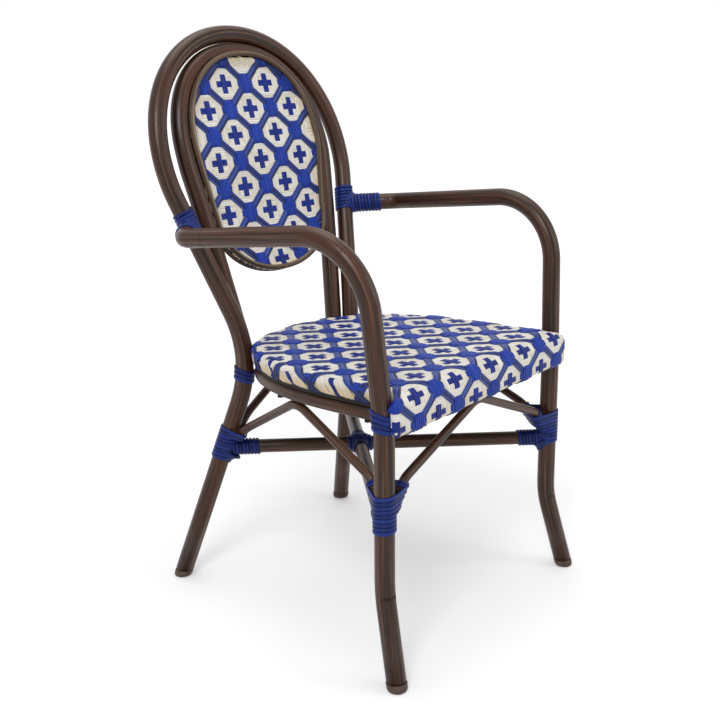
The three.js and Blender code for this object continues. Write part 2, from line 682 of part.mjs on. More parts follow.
// Distance along a route of each of its points, and the place at a distance
function stations(route) {
  const lengths = [0];
  for (let k = 1; k < route.length; k += 1) lengths.push(lengths[k - 1] + route[k].distanceTo(route[k - 1]));
  return lengths;
}

function alongRoute(route, lengths, s) {
  const next = lengths.findIndex((length) => length > s);
  const k = next < 0 ? route.length - 2 : Math.max(next - 1, 0);
  const share = (s - lengths[k]) / (lengths[k + 1] - lengths[k]);
  return route[k].clone().lerp(route[k + 1], share);
}

function distanceTo(route, height) {
  const k = route.findIndex((p, i) => i > 0 && (route[i - 1].z - height) * (p.z - height) <= 0);
  return stations(route)[k - 1] + onRoute(route, height).point.distanceTo(route[k - 1]);
}

// Bindings: one flat strand wound on a route, loop beside loop, round whatever members lie there.
// Each corner of the strand's path is where two neighbouring flats of the wound outline meet.
function strandRings(winding) {
  const { route, od, start, loops, pitch } = winding;
  const { members = () => [], toward = toRight, lean = 0, narrower = 0 } = winding;
  const lengths = stations(route);
  const halfWidth = (pitch - strand.between - narrower) / 2;
  const halfStep = Math.PI / strandSteps;
  const rings = [];
  for (let i = 0; i <= loops * strandSteps; i += 1) {
    const angle = 2 * i * halfStep;
    const s = start + (i / strandSteps) * pitch;
    const at = alongRoute(route, lengths, s);
    const axis = alongRoute(route, lengths, s + pitch).sub(alongRoute(route, lengths, s - pitch)).normalize();
    const e1 = squareTo(axis, toward);
    const e2 = axis.clone().cross(e1);
    const inside = members(at, axis, halfWidth + pitch / strandSteps);
    const flatAt = (phi) => {
      const normal = e1.clone().multiplyScalar(Math.cos(phi)).addScaledVector(e2, Math.sin(phi));
      const flats = inside.map((m) => m.centre.dot(normal) + (m.od / 2) * Math.hypot(1, m.long.dot(normal)));
      return Math.max(od / 2, ...flats) + strand.lift;
    };
    const [before, after] = [flatAt(angle - halfStep), flatAt(angle + halfStep)];
    const out = e1.clone().multiplyScalar(Math.cos(angle)).addScaledVector(e2, Math.sin(angle));
    const along = e2.clone().multiplyScalar(Math.cos(angle)).addScaledVector(e1, -Math.sin(angle));
    const base = at.clone()
      .addScaledVector(out, (before + after) / (2 * Math.cos(halfStep)))
      .addScaledVector(along, (after - before) / (2 * Math.sin(halfStep)));
    base.addScaledVector(axis, lean * base.clone().sub(at).dot(e1));
    const corner = (across, up) => base.clone().addScaledVector(axis, across).addScaledVector(out, up);
    const thick = strand.thick / Math.cos(halfStep);
    rings.push([
      corner(-halfWidth, 0),
      corner(halfWidth, 0),
      corner(halfWidth * strand.topShare, thick),
      corner(-halfWidth * strand.topShare, thick),
    ]);
  }
  return [straightEnd(rings[0], rings[1]), ...rings, straightEnd(rings.at(-1), rings.at(-2))];
}

// The strand's end runs on straight by its own thickness
function straightEnd(ring, neighbour) {
  const run = ring[0].clone().sub(neighbour[0]).normalize().multiplyScalar(strand.thick);
  return ring.map((p) => p.clone().add(run));
}

function strandGeometry(rings) {
  const sides = rings[0].length;
  const index = [];
  for (let i = 0; i < rings.length - 1; i += 1) {
    for (let k = 0; k < sides; k += 1) {
      const [a, b] = [i * sides + k, i * sides + ((k + 1) % sides)];
      index.push(a, a + sides, b, b, a + sides, b + sides);
    }
  }
  const last = (rings.length - 1) * sides;
  for (let k = 1; k < sides - 1; k += 1) index.push(0, k, k + 1, last, last + k + 1, last + k);
  return outward(rings.flat(), index);
}

// Least gap between the strand's edges and those more than half a loop on, measured on points along them
function leastGap(rings) {
  const pointsPerStep = 3;
  const points = [];
  for (let i = 0; i < rings.length - 1; i += 1) {
    for (let f = 0; f < pointsPerStep; f += 1) {
      rings[i].forEach((p, k) => points.push([i, p.clone().lerp(rings[i + 1][k], f / pointsPerStep)]));
    }
  }
  let least = Infinity;
  for (const [i, p] of points) {
    for (const [j, q] of points) {
      if (j - i > strandSteps / 2) least = Math.min(least, p.distanceTo(q));
    }
  }
  return least;
}

function wind(name, winding) {
  const rings = strandRings(winding);
  console.log(`${name}: least gap to itself ${leastGap(rings).toFixed(2)} mm`);
  return strandGeometry(rings);
}

// A leg's binding also takes in the two braces that rise off the leg. Each brace crosses the plane of the
// strand's upper edge as an ellipse, and below the brace's end the outline draws in to the leg again.
const braceMembers = (feet) => (at, axis, aboveAxis) => Object.values(feet).map(({ end, bend }) => {
  const run = bend.clone().sub(end).normalize();
  const up = at.clone().addScaledVector(axis, aboveAxis).sub(end).dot(axis);
  const endDrop = (braceRod.od / 2) * Math.sqrt(1 - run.dot(axis) ** 2);
  const share = THREE.MathUtils.clamp(1 + (up + endDrop) / legBinding.bulge, 0, 1);
  const centre = end.clone().addScaledVector(run, Math.max(up, 0) / run.dot(axis)).sub(at);
  const stretch = Math.sqrt(1 - run.dot(axis) ** 2) / run.dot(axis);
  return {
    centre: centre.addScaledVector(axis, -centre.dot(axis)).multiplyScalar(share),
    od: braceRod.od,
    long: squareTo(axis, run).multiplyScalar(stretch * share),
  };
});

const onFrame = (route, loops, more) => ({ route, od: frameTube.od, loops, pitch: strand.pitch, ...more });
const centredAt = (route, height, loops) => distanceTo(route, height) - (loops * strand.pitch) / 2;

addPair('binding_front_leg', wind('binding_front_leg', onFrame(legRoute, legBinding.frontLoops, {
  start: distanceTo(legRoute, legBinding.frontFrom),
  members: braceMembers(frontFeet),
  narrower: legBinding.narrower,
})), 'blue');
addPair('binding_rear_leg', wind('binding_rear_leg', onFrame(outerHalf, legBinding.rearLoops, {
  start: distanceTo(outerHalf, legBinding.rearFrom),
  members: braceMembers(rearFeet),
  narrower: legBinding.narrower,
})), 'blue');
addPair('binding_front_rail', wind('binding_front_rail', onFrame(legRoute, railBinding.frontLoops, {
  start: centredAt(legRoute, railBinding.frontHeight, railBinding.frontLoops),
  toward: toBack,
  lean: railBinding.tilt,
  narrower: railBinding.narrower,
})), 'blue');
addPair('binding_rear_rail', wind('binding_rear_rail', onFrame(outerHalf, railBinding.rearLoops, {
  start: centredAt(outerHalf, railBinding.rearHeight, railBinding.rearLoops),
  narrower: railBinding.narrower,
})), 'blue');
addPair('binding_hoop', wind('binding_hoop', onFrame(outerHalf, armBinding.hoopLoops, {
  start: centredAt(outerHalf, armJointHeight + armBinding.hoopAbove, armBinding.hoopLoops),
})), 'blue');
const armLength = stations(legRoute).at(-1);
addPair('binding_arm', wind('binding_arm', onFrame(legRoute, armBinding.armLoops, {
  start: armLength - bindingReach(frameTube.od) - armBinding.fromHoop - armBinding.armLoops * strand.pitch,
  toward: toTop,
  narrower: armBinding.narrower,
})), 'blue');

const onStretcher = (name, route, start, loops) => add(name, wind(name, {
  route, od: stretcherTube.od, start, loops, pitch: strand.stretcherPitch, toward: toTop,
}), 'blue');
const { fromLeg, frontLoops, rearLoops, crossLoops } = stretcherBinding;
onStretcher('binding_stretcher_rear_right', longRoute, fromLeg, rearLoops);
onStretcher('binding_stretcher_front_left', [...longRoute].reverse(), fromLeg, frontLoops);
onStretcher('binding_stretcher_front_right', halfFront, fromLeg, frontLoops);
onStretcher('binding_stretcher_rear_left', halfRear, fromLeg, rearLoops);
const crossStart = longRoute[0].distanceTo(crossing) - (crossLoops * strand.stretcherPitch) / 2;
onStretcher('binding_crossing', longRoute, crossStart, crossLoops);

// The whole chair stands with the middle of its base at the origin
chair.updateMatrixWorld(true);
const box = new THREE.Box3().setFromObject(chair, true);
const middle = box.getCenter(V(0, 0, 0));
chair.position.set(-middle.x, -middle.y, -box.min.z);
chair.updateMatrixWorld(true);

export default chair;
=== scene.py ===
# Bistro armchair: bent tubes with a bamboo finish, woven seat and oval back, blue bindings at the joints.
# Lengths in this script are millimetres in the chair's own frame, and every mesh is written in metres.
import math

import bpy
import numpy as np
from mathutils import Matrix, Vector


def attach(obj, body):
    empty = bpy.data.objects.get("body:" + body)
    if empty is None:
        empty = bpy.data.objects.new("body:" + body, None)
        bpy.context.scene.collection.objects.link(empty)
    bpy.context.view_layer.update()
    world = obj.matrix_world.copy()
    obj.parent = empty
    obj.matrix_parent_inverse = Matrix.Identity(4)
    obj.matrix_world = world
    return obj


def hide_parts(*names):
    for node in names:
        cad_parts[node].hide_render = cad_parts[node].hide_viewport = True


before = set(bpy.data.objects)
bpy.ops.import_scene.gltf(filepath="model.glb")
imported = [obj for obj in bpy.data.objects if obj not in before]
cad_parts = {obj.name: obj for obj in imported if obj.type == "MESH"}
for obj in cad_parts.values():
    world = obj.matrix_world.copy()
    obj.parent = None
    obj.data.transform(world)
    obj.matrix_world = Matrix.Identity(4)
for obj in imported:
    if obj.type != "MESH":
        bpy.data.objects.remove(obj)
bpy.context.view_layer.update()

MM = 0.001
FRAME_SHIFT = np.array([0.0, -97.05, -5.0])

# Sizes that the CAD model has
TUBE, RAIL_TUBE, STRETCHER_TUBE, BRACE_ROD, TRIM_ROD, PANEL_ROD = 30.0, 22.0, 23.0, 14.0, 9.0, 7.0
GAP = 0.3
FLOOR_LEVEL = 5.0
FRONT_FOOT = (240.0, -187.0)
FRONT_KNEE = (225.0, -151.0, 140.0, 180.0)
ARM_RISE = (387.0, 315.0)
ARM_CORNER = (246.0, -132.0, 665.0, 106.0)
ARM_ELBOW = (257.0, 214.0, 623.0, 34.0)
ARM_JOINT_HEIGHT = 620.0
REAR_FOOT = (210.0, 323.0)
KINK = (124.4, 212.0, 403.0, 217.0)
RECLINE = math.radians(17.8)
OUTER_HOOP = dict(half_width=208.5, rise=212.7, spring=338.0, fullness=2.05)
INNER_HOOP = dict(half_width=160.0, spring=348.0, fullness=2.17, crown_gap=0.8, foot_in=13.8, foot_back=33.0, end=8.0)
SWEEP_SHARE = 1.25
OVAL = dict(forward=18.5, forward_fall=0.0362, from_hoop=0.75, bend_height=236.0, bend_slack=1.2, drop=117.0,
            lower_fullness=2.1)
SEAT_SLOPE = math.atan(0.04)
SEAT = dict(half_width=206.5, front=-176.4, widest=-53.0, back=249.0, fullness=2.5, ear_half_width=229.0)
RAIL = dict(height=392.0, inset=11.5, front_setback=12.0, cross_setback=27.0, cross_drop=5.0)
WEAVE = dict(lift=8.0, thick=25.0, edge_radius=10.0, front_radius=22.0, apron_thick=9.4, apron_drop=57.0)
STRETCHER_HEIGHT = 244.0
BRACE = dict(bend_radius=40.0, peak_radius=45.0, front_forward=5.0, side_inward=0.45)
BRACE_FEET = dict(front=(275.0, 303.0, 45.0), rear_side=(273.0, 289.0, 38.0), rear_across=(273.0, 298.0, 31.0))
FOOT_HEIGHT = 12.0
STRAND = dict(thick=2.2, lift=0.3, pitch=7.4, stretcher_pitch=5.8, between=0.3)


def vec(*values):
    return np.array(values, float)


across_x = vec(-1, 1, 1)


def unit(v):
    return v / np.linalg.norm(v)


# Routes of the tubes, as in the CAD model but with finer steps
def rounded(corners, radii, step=math.radians(3.5)):
    points = [corners[0]]
    for corner, before, after, radius in zip(corners[1:-1], corners[:-2], corners[2:], radii):
        to_last, to_next = unit(before - corner), unit(after - corner)
        turn = math.pi - math.acos(np.clip(to_last @ to_next, -1, 1))
        reach = radius * math.tan(turn / 2)
        start, end = corner + to_last * reach, corner + to_next * reach
        centre = corner + unit(to_last + to_next) * radius / math.cos(turn / 2)
        steps = max(2, math.ceil(turn / step))
        for k in range(steps + 1):
            share = k / steps
            a = math.sin((1 - share) * turn) / math.sin(turn)
            b = math.sin(share * turn) / math.sin(turn)
            points.append(centre + (start - centre) * a + (end - centre) * b)
    points.append(corners[-1])
    return np.array(points)


def with_far_side(half):
    """A half that ends on the middle line, with its mirror image."""
    return np.vstack([half, (half[:-1] * across_x[:half.shape[1]])[::-1]])


def hoop_point(u, v, off=0.0):
    """Place on the reclined plane of the hoops: across, up the plane, and behind it."""
    return vec(u, KINK[1] + v * math.sin(RECLINE) + off * math.cos(RECLINE),
               KINK[2] + v * math.cos(RECLINE) - off * math.sin(RECLINE))


# A bend is its half width, rise, spring height and fullness
def quarter(bend, start, steps):
    half_width, rise, spring, fullness = bend
    t = start + np.linspace(0, 1, steps + 1) * (math.pi / 2 - start)
    c = np.abs(np.cos(t)) ** (2 / fullness)
    s = np.sign(np.sin(t)) * np.abs(np.sin(t)) ** (2 / fullness)
    return np.stack([half_width * c, spring + rise * s], 1)


MEETING_STEPS = 400


def meeting(bend, u, v):
    """Where a bend starts, so that a straight line from (u, v) runs into it without a corner."""
    best, least = 0.0, 1e9
    for a in -1 + np.arange(MEETING_STEPS) / MEETING_STEPS:
        p0, p1 = (quarter(bend, t, 1)[0] for t in (a, a + 1 / MEETING_STEPS))
        cross = abs((p0[0] - u) * (p1[1] - v) - (p0[1] - v) * (p1[0] - u)) / np.linalg.norm(p1 - p0)
        if cross < least:
            best, least = a, cross
    return best


def hoop_side(bend, u, steps=44):
    return quarter(bend, meeting(bend, u, 0), steps)


FOOT_LIFT = FLOOR_LEVEL + FOOT_HEIGHT
outer_side = hoop_side([OUTER_HOOP[k] for k in ("half_width", "rise", "spring", "fullness")], KINK[0])
rear_leg_dir = unit(vec(KINK[0] - REAR_FOOT[0], KINK[1] - REAR_FOOT[1], KINK[2]))


def along_leg(x, y, direction, z):
    return vec(x, y, 0) + direction * z / direction[2]


outer_half = np.vstack([
    rounded([along_leg(*REAR_FOOT, rear_leg_dir, FOOT_LIFT), vec(*KINK[:3]), hoop_point(*outer_side[0])], [KINK[3]]),
    [hoop_point(u, v) for u, v in outer_side[1:]],
])
outer_route = with_far_side(outer_half)

inner_rise = OUTER_HOOP["spring"] + OUTER_HOOP["rise"] - TUBE - INNER_HOOP["crown_gap"] - INNER_HOOP["spring"]
inner_foot = KINK[0] - INNER_HOOP["foot_in"]
inner_bend = (INNER_HOOP["half_width"], inner_rise, INNER_HOOP["spring"], INNER_HOOP["fullness"])
inner_side = hoop_side(inner_bend, inner_foot)


def sweep_back(v):
    return INNER_HOOP["foot_back"] * max((INNER_HOOP["spring"] - v) / INNER_HOOP["spring"], 0) ** SWEEP_SHARE


def inner_leg_at(v):
    return inner_foot + (inner_side[0][0] - inner_foot) * v / inner_side[0][1]


inner_half = [hoop_point(inner_leg_at(v), v, sweep_back(v))
              for v in np.linspace(INNER_HOOP["end"], inner_side[0][1], 16)[:-1]]
inner_half = np.array(inner_half + [hoop_point(u, v, sweep_back(v)) for u, v in inner_side])
inner_route = with_far_side(inner_half)

# Oval rings and the surface that the woven back lies on
hoop_crown = INNER_HOOP["spring"] + inner_rise


def ring_forward(v):
    return OVAL["forward"] - OVAL["forward_fall"] * (hoop_crown - max(v, OVAL["bend_height"]))


def ring_off(v, behind):
    return sweep_back(max(v, OVAL["bend_height"])) - ring_forward(v) + behind


def oval_outline(behind, rod, extra=0.0, steps=40):
    reach = TUBE / 2 + rod / 2 + OVAL["from_hoop"]
    half_width, _, _, fullness = inner_bend

    def inset_at(v):
        return math.sqrt(reach ** 2 - (behind - ring_forward(v)) ** 2) + extra

    upper = []
    for k, (u, v) in enumerate(quarter(inner_bend, 0, steps)):
        t = k / steps * math.pi / 2
        power = 2 - 2 / fullness
        out = unit(vec(math.cos(t) ** power / half_width, math.sin(t) ** power / inner_rise))
        upper.append([u - out[0] * inset_at(v), v - out[1] * inset_at(v)])
    inset = inset_at(OVAL["bend_height"])
    bend = (inner_leg_at(OVAL["bend_height"]) - inset - OVAL["bend_slack"], OVAL["drop"] - inset,
            -OVAL["bend_height"], OVAL["lower_fullness"])
    start = meeting(bend, upper[0][0], -upper[0][1])
    lower = [[u, -v] for u, v in quarter(bend, start, steps)]
    half = lower[::-1] + upper
    return np.array(half + [[-u, v] for u, v in half[1:-1][::-1]])


def oval_route(behind, rod):
    return np.array([hoop_point(u, v, ring_off(v, behind)) for u, v in oval_outline(behind, rod)])


panel_behind = TRIM_ROD / 2 + PANEL_ROD / 2 + GAP


def stations(route):
    return np.concatenate([[0], np.cumsum(np.linalg.norm(np.diff(route, axis=0), axis=1))])


def at_distance(route, lengths, s):
    k = int(np.clip(np.searchsorted(lengths, s, side="right") - 1, 0, len(route) - 2))
    share = (s - lengths[k]) / (lengths[k + 1] - lengths[k])
    return route[k] + (route[k + 1] - route[k]) * share


def on_route(route, height):
    z = route[:, 2]
    k = next(i for i in range(len(z) - 1) if (z[i] - height) * (z[i + 1] - height) <= 0 and z[i] != z[i + 1])
    share = (height - z[k]) / (z[k + 1] - z[k])
    return route[k] + (route[k + 1] - route[k]) * share, unit(route[k + 1] - route[k]), k


def distance_to(route, height):
    point, _, k = on_route(route, height)
    return stations(route)[k] + np.linalg.norm(point - route[k])


front_leg_dir = unit(vec(FRONT_KNEE[0] - FRONT_FOOT[0], FRONT_KNEE[1] - FRONT_FOOT[1], FRONT_KNEE[2]))
leg_route = rounded(
    [along_leg(*FRONT_FOOT, front_leg_dir, FOOT_LIFT), vec(*FRONT_KNEE[:3]),
     vec(FRONT_KNEE[0], FRONT_KNEE[1], ARM_RISE[0]), vec(*ARM_CORNER[:3]), vec(*ARM_ELBOW[:3]),
     on_route(outer_half, ARM_JOINT_HEIGHT)[0]],
    [FRONT_KNEE[3], ARM_RISE[1], ARM_CORNER[3], ARM_ELBOW[3]],
)


# Seat plane
def seat_outline(inset, front, steps=48):
    t = np.linspace(0, math.pi / 2, steps + 1)
    x = (SEAT["half_width"] - inset) * np.cos(t).clip(0) ** (2 / SEAT["fullness"])
    y = SEAT["widest"] + (SEAT["back"] - inset - SEAT["widest"]) * np.sin(t) ** (2 / SEAT["fullness"])
    x[-1] = 0
    return with_far_side(np.vstack([[SEAT["half_width"] - inset, front], np.stack([x, y], 1)]))


def tilted(points):
    points = np.atleast_2d(points)
    c, s = math.cos(-SEAT_SLOPE), math.sin(-SEAT_SLOPE)
    x, y, z = points.T
    return np.stack([x, y * c - z * s, y * s + z * c + RAIL["height"]], 1)


rail_plan = seat_outline(RAIL["inset"], SEAT["front"] + RAIL["front_setback"])
rail_route = tilted(np.column_stack([rail_plan, np.zeros(len(rail_plan))]))
rail_x = SEAT["half_width"] - RAIL["inset"]
cross_y = SEAT["front"] + RAIL["cross_setback"]
cross_route = tilted([[-rail_x, cross_y, -RAIL["cross_drop"]], [rail_x, cross_y, -RAIL["cross_drop"]]])


def rail_at_y(y):
    k = next(i for i in range(1, len(rail_route)) if rail_route[i][1] > y >= rail_route[i - 1][1])
    share = (y - rail_route[k - 1][1]) / (rail_route[k][1] - rail_route[k - 1][1])
    return rail_route[k - 1] + (rail_route[k] - rail_route[k - 1]) * share


# Stretchers and braces
front_at = on_route(leg_route, STRETCHER_HEIGHT)[0]
rear_at = on_route(outer_half, STRETCHER_HEIGHT)[0]
long_ends = np.array([rear_at * across_x, front_at])
cross_share = long_ends[0][0] / (long_ends[0][0] - long_ends[1][0])
crossing = long_ends[0] + (long_ends[1] - long_ends[0]) * cross_share


def straight(a, b, steps=24):
    return a + (b - a) * np.linspace(0, 1, steps + 1)[:, None]


long_route = straight(*long_ends)
short_front_route = straight(front_at * across_x, crossing)
short_rear_route = straight(rear_at, crossing)


def square_to(axis, toward):
    return unit(toward - axis * (toward @ axis))


def beside_leg(route, toward, height, distance):
    out = square_to(on_route(route, height)[1], toward)
    return on_route(route, height - out[2] * distance)[0] + out * distance


def brace_foot(route, toward, sizes):
    end, bend, bend_out = sizes
    return beside_leg(route, toward, end, (TUBE + BRACE_ROD) / 2 + GAP), beside_leg(route, toward, bend, bend_out)


def brace_route(foot_a, foot_b, peak):
    corner = peak.copy()
    for _ in range(8):
        a, b = unit(foot_a[1] - corner), unit(foot_b[1] - corner)
        half = math.acos(a @ b) / 2
        corner[2] = peak[2] + BRACE["peak_radius"] * (1 / math.sin(half) - 1)
    radii = [BRACE["bend_radius"], BRACE["peak_radius"], BRACE["bend_radius"]]
    return rounded([foot_a[0], foot_a[1], corner, foot_b[1], foot_b[0]], radii)


under_rail = (RAIL_TUBE + BRACE_ROD) / 2 + GAP
front_feet = dict(
    side=brace_foot(leg_route, vec(-BRACE["side_inward"], 1, 0), BRACE_FEET["front"]),
    across=brace_foot(leg_route, vec(-1, 0, 0), BRACE_FEET["front"]),
)
rear_feet = dict(
    side=brace_foot(outer_half, vec(0, -1, 0), BRACE_FEET["rear_side"]),
    across=brace_foot(outer_half, vec(-1, 0, 0), BRACE_FEET["rear_across"]),
)


def far_side(foot):
    return tuple(p * across_x for p in foot)


side_brace = brace_route(front_feet["side"], rear_feet["side"],
                         rail_at_y((front_at[1] + rear_at[1]) / 2) - vec(0, 0, under_rail))
front_peak = tilted([0, cross_y - BRACE["front_forward"], -RAIL["cross_drop"]])[0] - vec(0, 0, under_rail)
front_brace = brace_route(front_feet["across"], far_side(front_feet["across"]), front_peak)
rear_peak = rail_route[len(rail_route) // 2] - vec(0, 0, under_rail)
rear_brace = brace_route(rear_feet["across"], far_side(rear_feet["across"]), rear_peak)


# Materials
def linear(text):
    """Colour of a material from its sRGB hex text."""
    channels = [int(text[k:k + 2], 16) / 255 for k in (1, 3, 5)]
    return [c / 12.92 if c <= 0.04045 else ((c + 0.055) / 1.055) ** 2.4 for c in channels] + [1.0]


def fill(tree, node, values):
    """Sets each of a node's sockets to its value, or links it to the socket given, and returns the outputs."""
    for key, value in values.items():
        if isinstance(value, bpy.types.NodeSocket):
            tree.links.new(value, node.inputs[key])
        else:
            node.inputs[key].default_value = value
    return node.outputs


def add(tree, kind, values=None, stops=(), **settings):
    """Adds a node with its settings, colour stops and values, and returns its outputs."""
    node = tree.nodes.new(kind)
    for key, value in settings.items():
        setattr(node, key, value)
    for place, _ in stops[2:]:
        node.color_ramp.elements.new(place)
    for element, (place, colour) in zip(node.color_ramp.elements if stops else (), stops):
        element.position, element.color = place, linear(colour)
    return fill(tree, node, values or {})


def grain_share(tree, vector, stretch, detail, low=0.0, high=1.0, most=1.0, roughness=0.5):
    """Share of a grain that shows, from none at its low level to most at its high one, and the noise behind it."""
    scaled = add(tree, "ShaderNodeMapping", {"Vector": vector, "Scale": stretch})[0]
    noise = add(tree, "ShaderNodeTexNoise", {"Vector": scaled, "Scale": 1.0, "Detail": detail,
                                             "Roughness": roughness})[0]
    share = add(tree, "ShaderNodeMapRange", {"Value": noise, "From Min": low, "From Max": high, "To Max": most})[0]
    return share, noise


def tinted(tree, below, *layers):
    """A colour with others over it, each with its share; colours are hex texts or sockets."""
    for share, above in layers:
        both = [linear(c) if isinstance(c, str) else c for c in (below, above)]
        below = add(tree, "ShaderNodeMix", {0: share, 6: both[0], 7: both[1]}, data_type="RGBA")[2]
    return below


def finished(name, steps):
    """Material whose steps give the surface's values, and what its bump follows, how deep and how strong."""
    material = bpy.data.materials.new(name)
    material.use_nodes = True
    tree = material.node_tree
    values, (height, depth, strength) = steps(tree)
    bump = add(tree, "ShaderNodeBump", {"Height": height, "Distance": depth, "Strength": strength})[0]
    fill(tree, tree.nodes["Principled BSDF"], {**values, "Normal": bump})
    return material


NODE_LINE_COLOUR = "#0b0706"


def rattan_finish(name, deep, middle, warm, pale):
    """Lacquered bamboo look on tube: node lines, and dark and reddish streaks, narrow and a hand long."""
    def steps(tree):
        grain = add(tree, "ShaderNodeAttribute", attribute_name="grain")["Vector"]
        line = add(tree, "ShaderNodeAttribute", attribute_name="node_line")["Fac"]
        streak = grain_share(tree, grain, (0.3, 0.3, 0.0035), 5.0, roughness=0.6)[1]
        fibre, fibre_noise = grain_share(tree, grain, (0.95, 0.95, 0.008), 3.0, 0.44, 0.62, 0.8)
        cloud = grain_share(tree, grain, (0.05, 0.05, 0.005), 3.0, 0.45, 0.62, 0.6)[0]
        streaks = add(tree, "ShaderNodeValToRGB", {"Fac": streak}, [(0.38, deep), (0.5, middle), (0.64, pale)])[0]
        return {"Base Color": tinted(tree, streaks, (cloud, warm), (fibre, deep), (line, NODE_LINE_COLOUR)),
                "Roughness": add(tree, "ShaderNodeMapRange", {"Value": streak, "To Min": 0.26, "To Max": 0.42})[0],
                "Specular IOR Level": 0.25, "Coat Weight": 0.1, "Coat Roughness": 0.16}, (fibre_noise, 0.0004, 0.35)
    return finished(name, steps)


def strand_finish(name, base, shade, light, roughness, specular, streak, amount):
    """Flat extruded strand: faint lines along its length, each strand a little lighter or darker than the next by its
    tint, and painted shade in the streak colour where the edge attribute says the cloth rolls over a rim.
    """
    def steps(tree):
        fibre = add(tree, "ShaderNodeAttribute", attribute_name="fibre")["Vector"]
        tint, edge = (add(tree, "ShaderNodeAttribute", attribute_name=key)["Fac"] for key in ("tint", "edge"))
        lines, line_noise = grain_share(tree, fibre, (0.02, 1.3, 1.3), 3.0, 0.5, 0.72, amount)
        drift = grain_share(tree, fibre, (0.02, 0.2, 0.2), 2.0, 0.35, 0.7, 0.6)[0]
        # Painted shade: towards the cloth's rims, as the edge attribute gives, the strands darken to the streak
        # colour, broken up by the line noise
        painted_rim_shade = add(tree, "ShaderNodeMapRange", {"Value": line_noise, "From Min": 0.3, "From Max": 0.6, "To Min": 0.35,
                                                "To Max": 0.9})[0]
        painted_rim_shade = add(tree, "ShaderNodeMath", {0: edge, 1: painted_rim_shade}, operation="MULTIPLY")[0]
        sheen = add(tree, "ShaderNodeMapRange", {"Value": line_noise, "To Min": roughness - 0.06,
                                                 "To Max": roughness + 0.08})[0]
        return {"Base Color": tinted(tree, shade, (tint, light), (drift, base), (lines, streak), (painted_rim_shade, streak)),
                "Roughness": sheen, "Specular IOR Level": specular}, (line_noise, 0.0002, 0.4)
    return finished(name, steps)


def fine_grained(name, grains, wear_grains, low, high, roughness, specular, strength):
    """Finish with a fine all-over grain, given as grains to the metre."""
    def steps(tree):
        place = add(tree, "ShaderNodeTexCoord")["Object"]
        grain = grain_share(tree, place, (grains,) * 3, 4.0)[1]
        wear = grain_share(tree, place, (wear_grains,) * 3, 3.0, 0.3, 0.7)[0]
        return {"Base Color": tinted(tree, low, (wear, high)), "Roughness": roughness,
                "Specular IOR Level": specular}, (grain, 0.0002, strength)
    return finished(name, steps)


# Painted aluminium tube reads as dark, half-gloss bamboo; the rods round the oval as a lighter bronze lacquer
rattan = rattan_finish("bamboo_look_tube", "#150b08", "#412719", "#562d17", "#6b4c3a")
bronze = rattan_finish("bronze_lacquered_rod", "#2e2218", "#594536", "#68502f", "#95836f")
# Extruded plastic strand: flat, satin, blue on the joints and blue and cream in the weave
blue_wrap = strand_finish("blue_binding_strand", "#0c2164", "#081444", "#173382", 0.36, 0.22, "#060c30", 0.5)
blue_weave = strand_finish("blue_woven_strand", "#0e2b8e", "#081a5c", "#1f46b4", 0.38, 0.22, "#081450", 0.4)
# The band strand's light colour gives the painted highlight on the upward bands
blue_band = strand_finish("blue_band_strand", "#122672", "#070d30", "#425cb2", 0.36, 0.25, "#060c34", 0.35)
cream_weave = strand_finish("cream_woven_strand", "#dfdbd2", "#d2cabb", "#e9e7e2", 0.46, 0.3, "#cdb486", 0.22)
# Brown moulded rubber is matt with floor dust; the metal's coat is near-black, low in gloss and slightly uneven
rubber = fine_grained("moulded_rubber", 900, 60, "#43342d", "#5e4b41", 0.65, 0.35, 0.5)
# The near-black is partly painted shadow: where the seat frame shows in the gap under the weave, and the rod round
# the oval, it stands in for the dark shadow gaps there
shadow_black_metal = fine_grained("black_coat_and_shadow", 700, 700, "#090808", "#110f10", 0.6, 0.3, 0.4)


# Meshes
def grid(rows, around, first=0):
    """Quads over rows of points that go round."""
    i, k = np.meshgrid(np.arange(rows - 1), np.arange(around), indexing="ij")
    n = (k + 1) % around
    return first + np.stack([i * around + k, (i + 1) * around + k, (i + 1) * around + n, i * around + n],
                            -1).reshape(-1, 4)


def end_caps(rows, around, first=0):
    """Faces that close the first and the last row."""
    last = first + (rows - 1) * around
    return [list(range(first, first + around)), list(range(last, last + around))[::-1]]


def settle(name, mesh, nodes):
    """The mesh as a piece on the one body, in the place of those CAD nodes."""
    piece = bpy.data.objects.new(name, mesh)
    bpy.context.scene.collection.objects.link(piece)
    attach(piece, "root")
    if nodes:
        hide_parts(*nodes)


def give(mesh, **attributes):
    """Gives every point of a mesh its value of each attribute."""
    for key, values in attributes.items():
        values = np.asarray(values, float)
        kind, part = ("FLOAT_VECTOR", "vector") if values.ndim == 2 else ("FLOAT", "value")
        mesh.attributes.new(key, kind, "POINT").data.foreach_set(part, values.ravel())


def new_piece(name, slot, nodes, points, quads, caps, finish, **attributes):
    """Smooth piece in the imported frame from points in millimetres, with an attribute for each further list."""
    mesh = bpy.data.meshes.new(name)
    faces = [tuple(q) for q in np.asarray(quads).tolist()] + [tuple(c) for c in caps]
    mesh.from_pydata(((np.asarray(points) + FRAME_SHIFT) * MM).tolist(), [], faces)
    mesh.materials.append(finish)
    mesh.polygons.foreach_set("use_smooth", [True] * len(mesh.polygons))
    give(mesh, **attributes)
    mesh.update()
    settle(name, mesh, nodes)


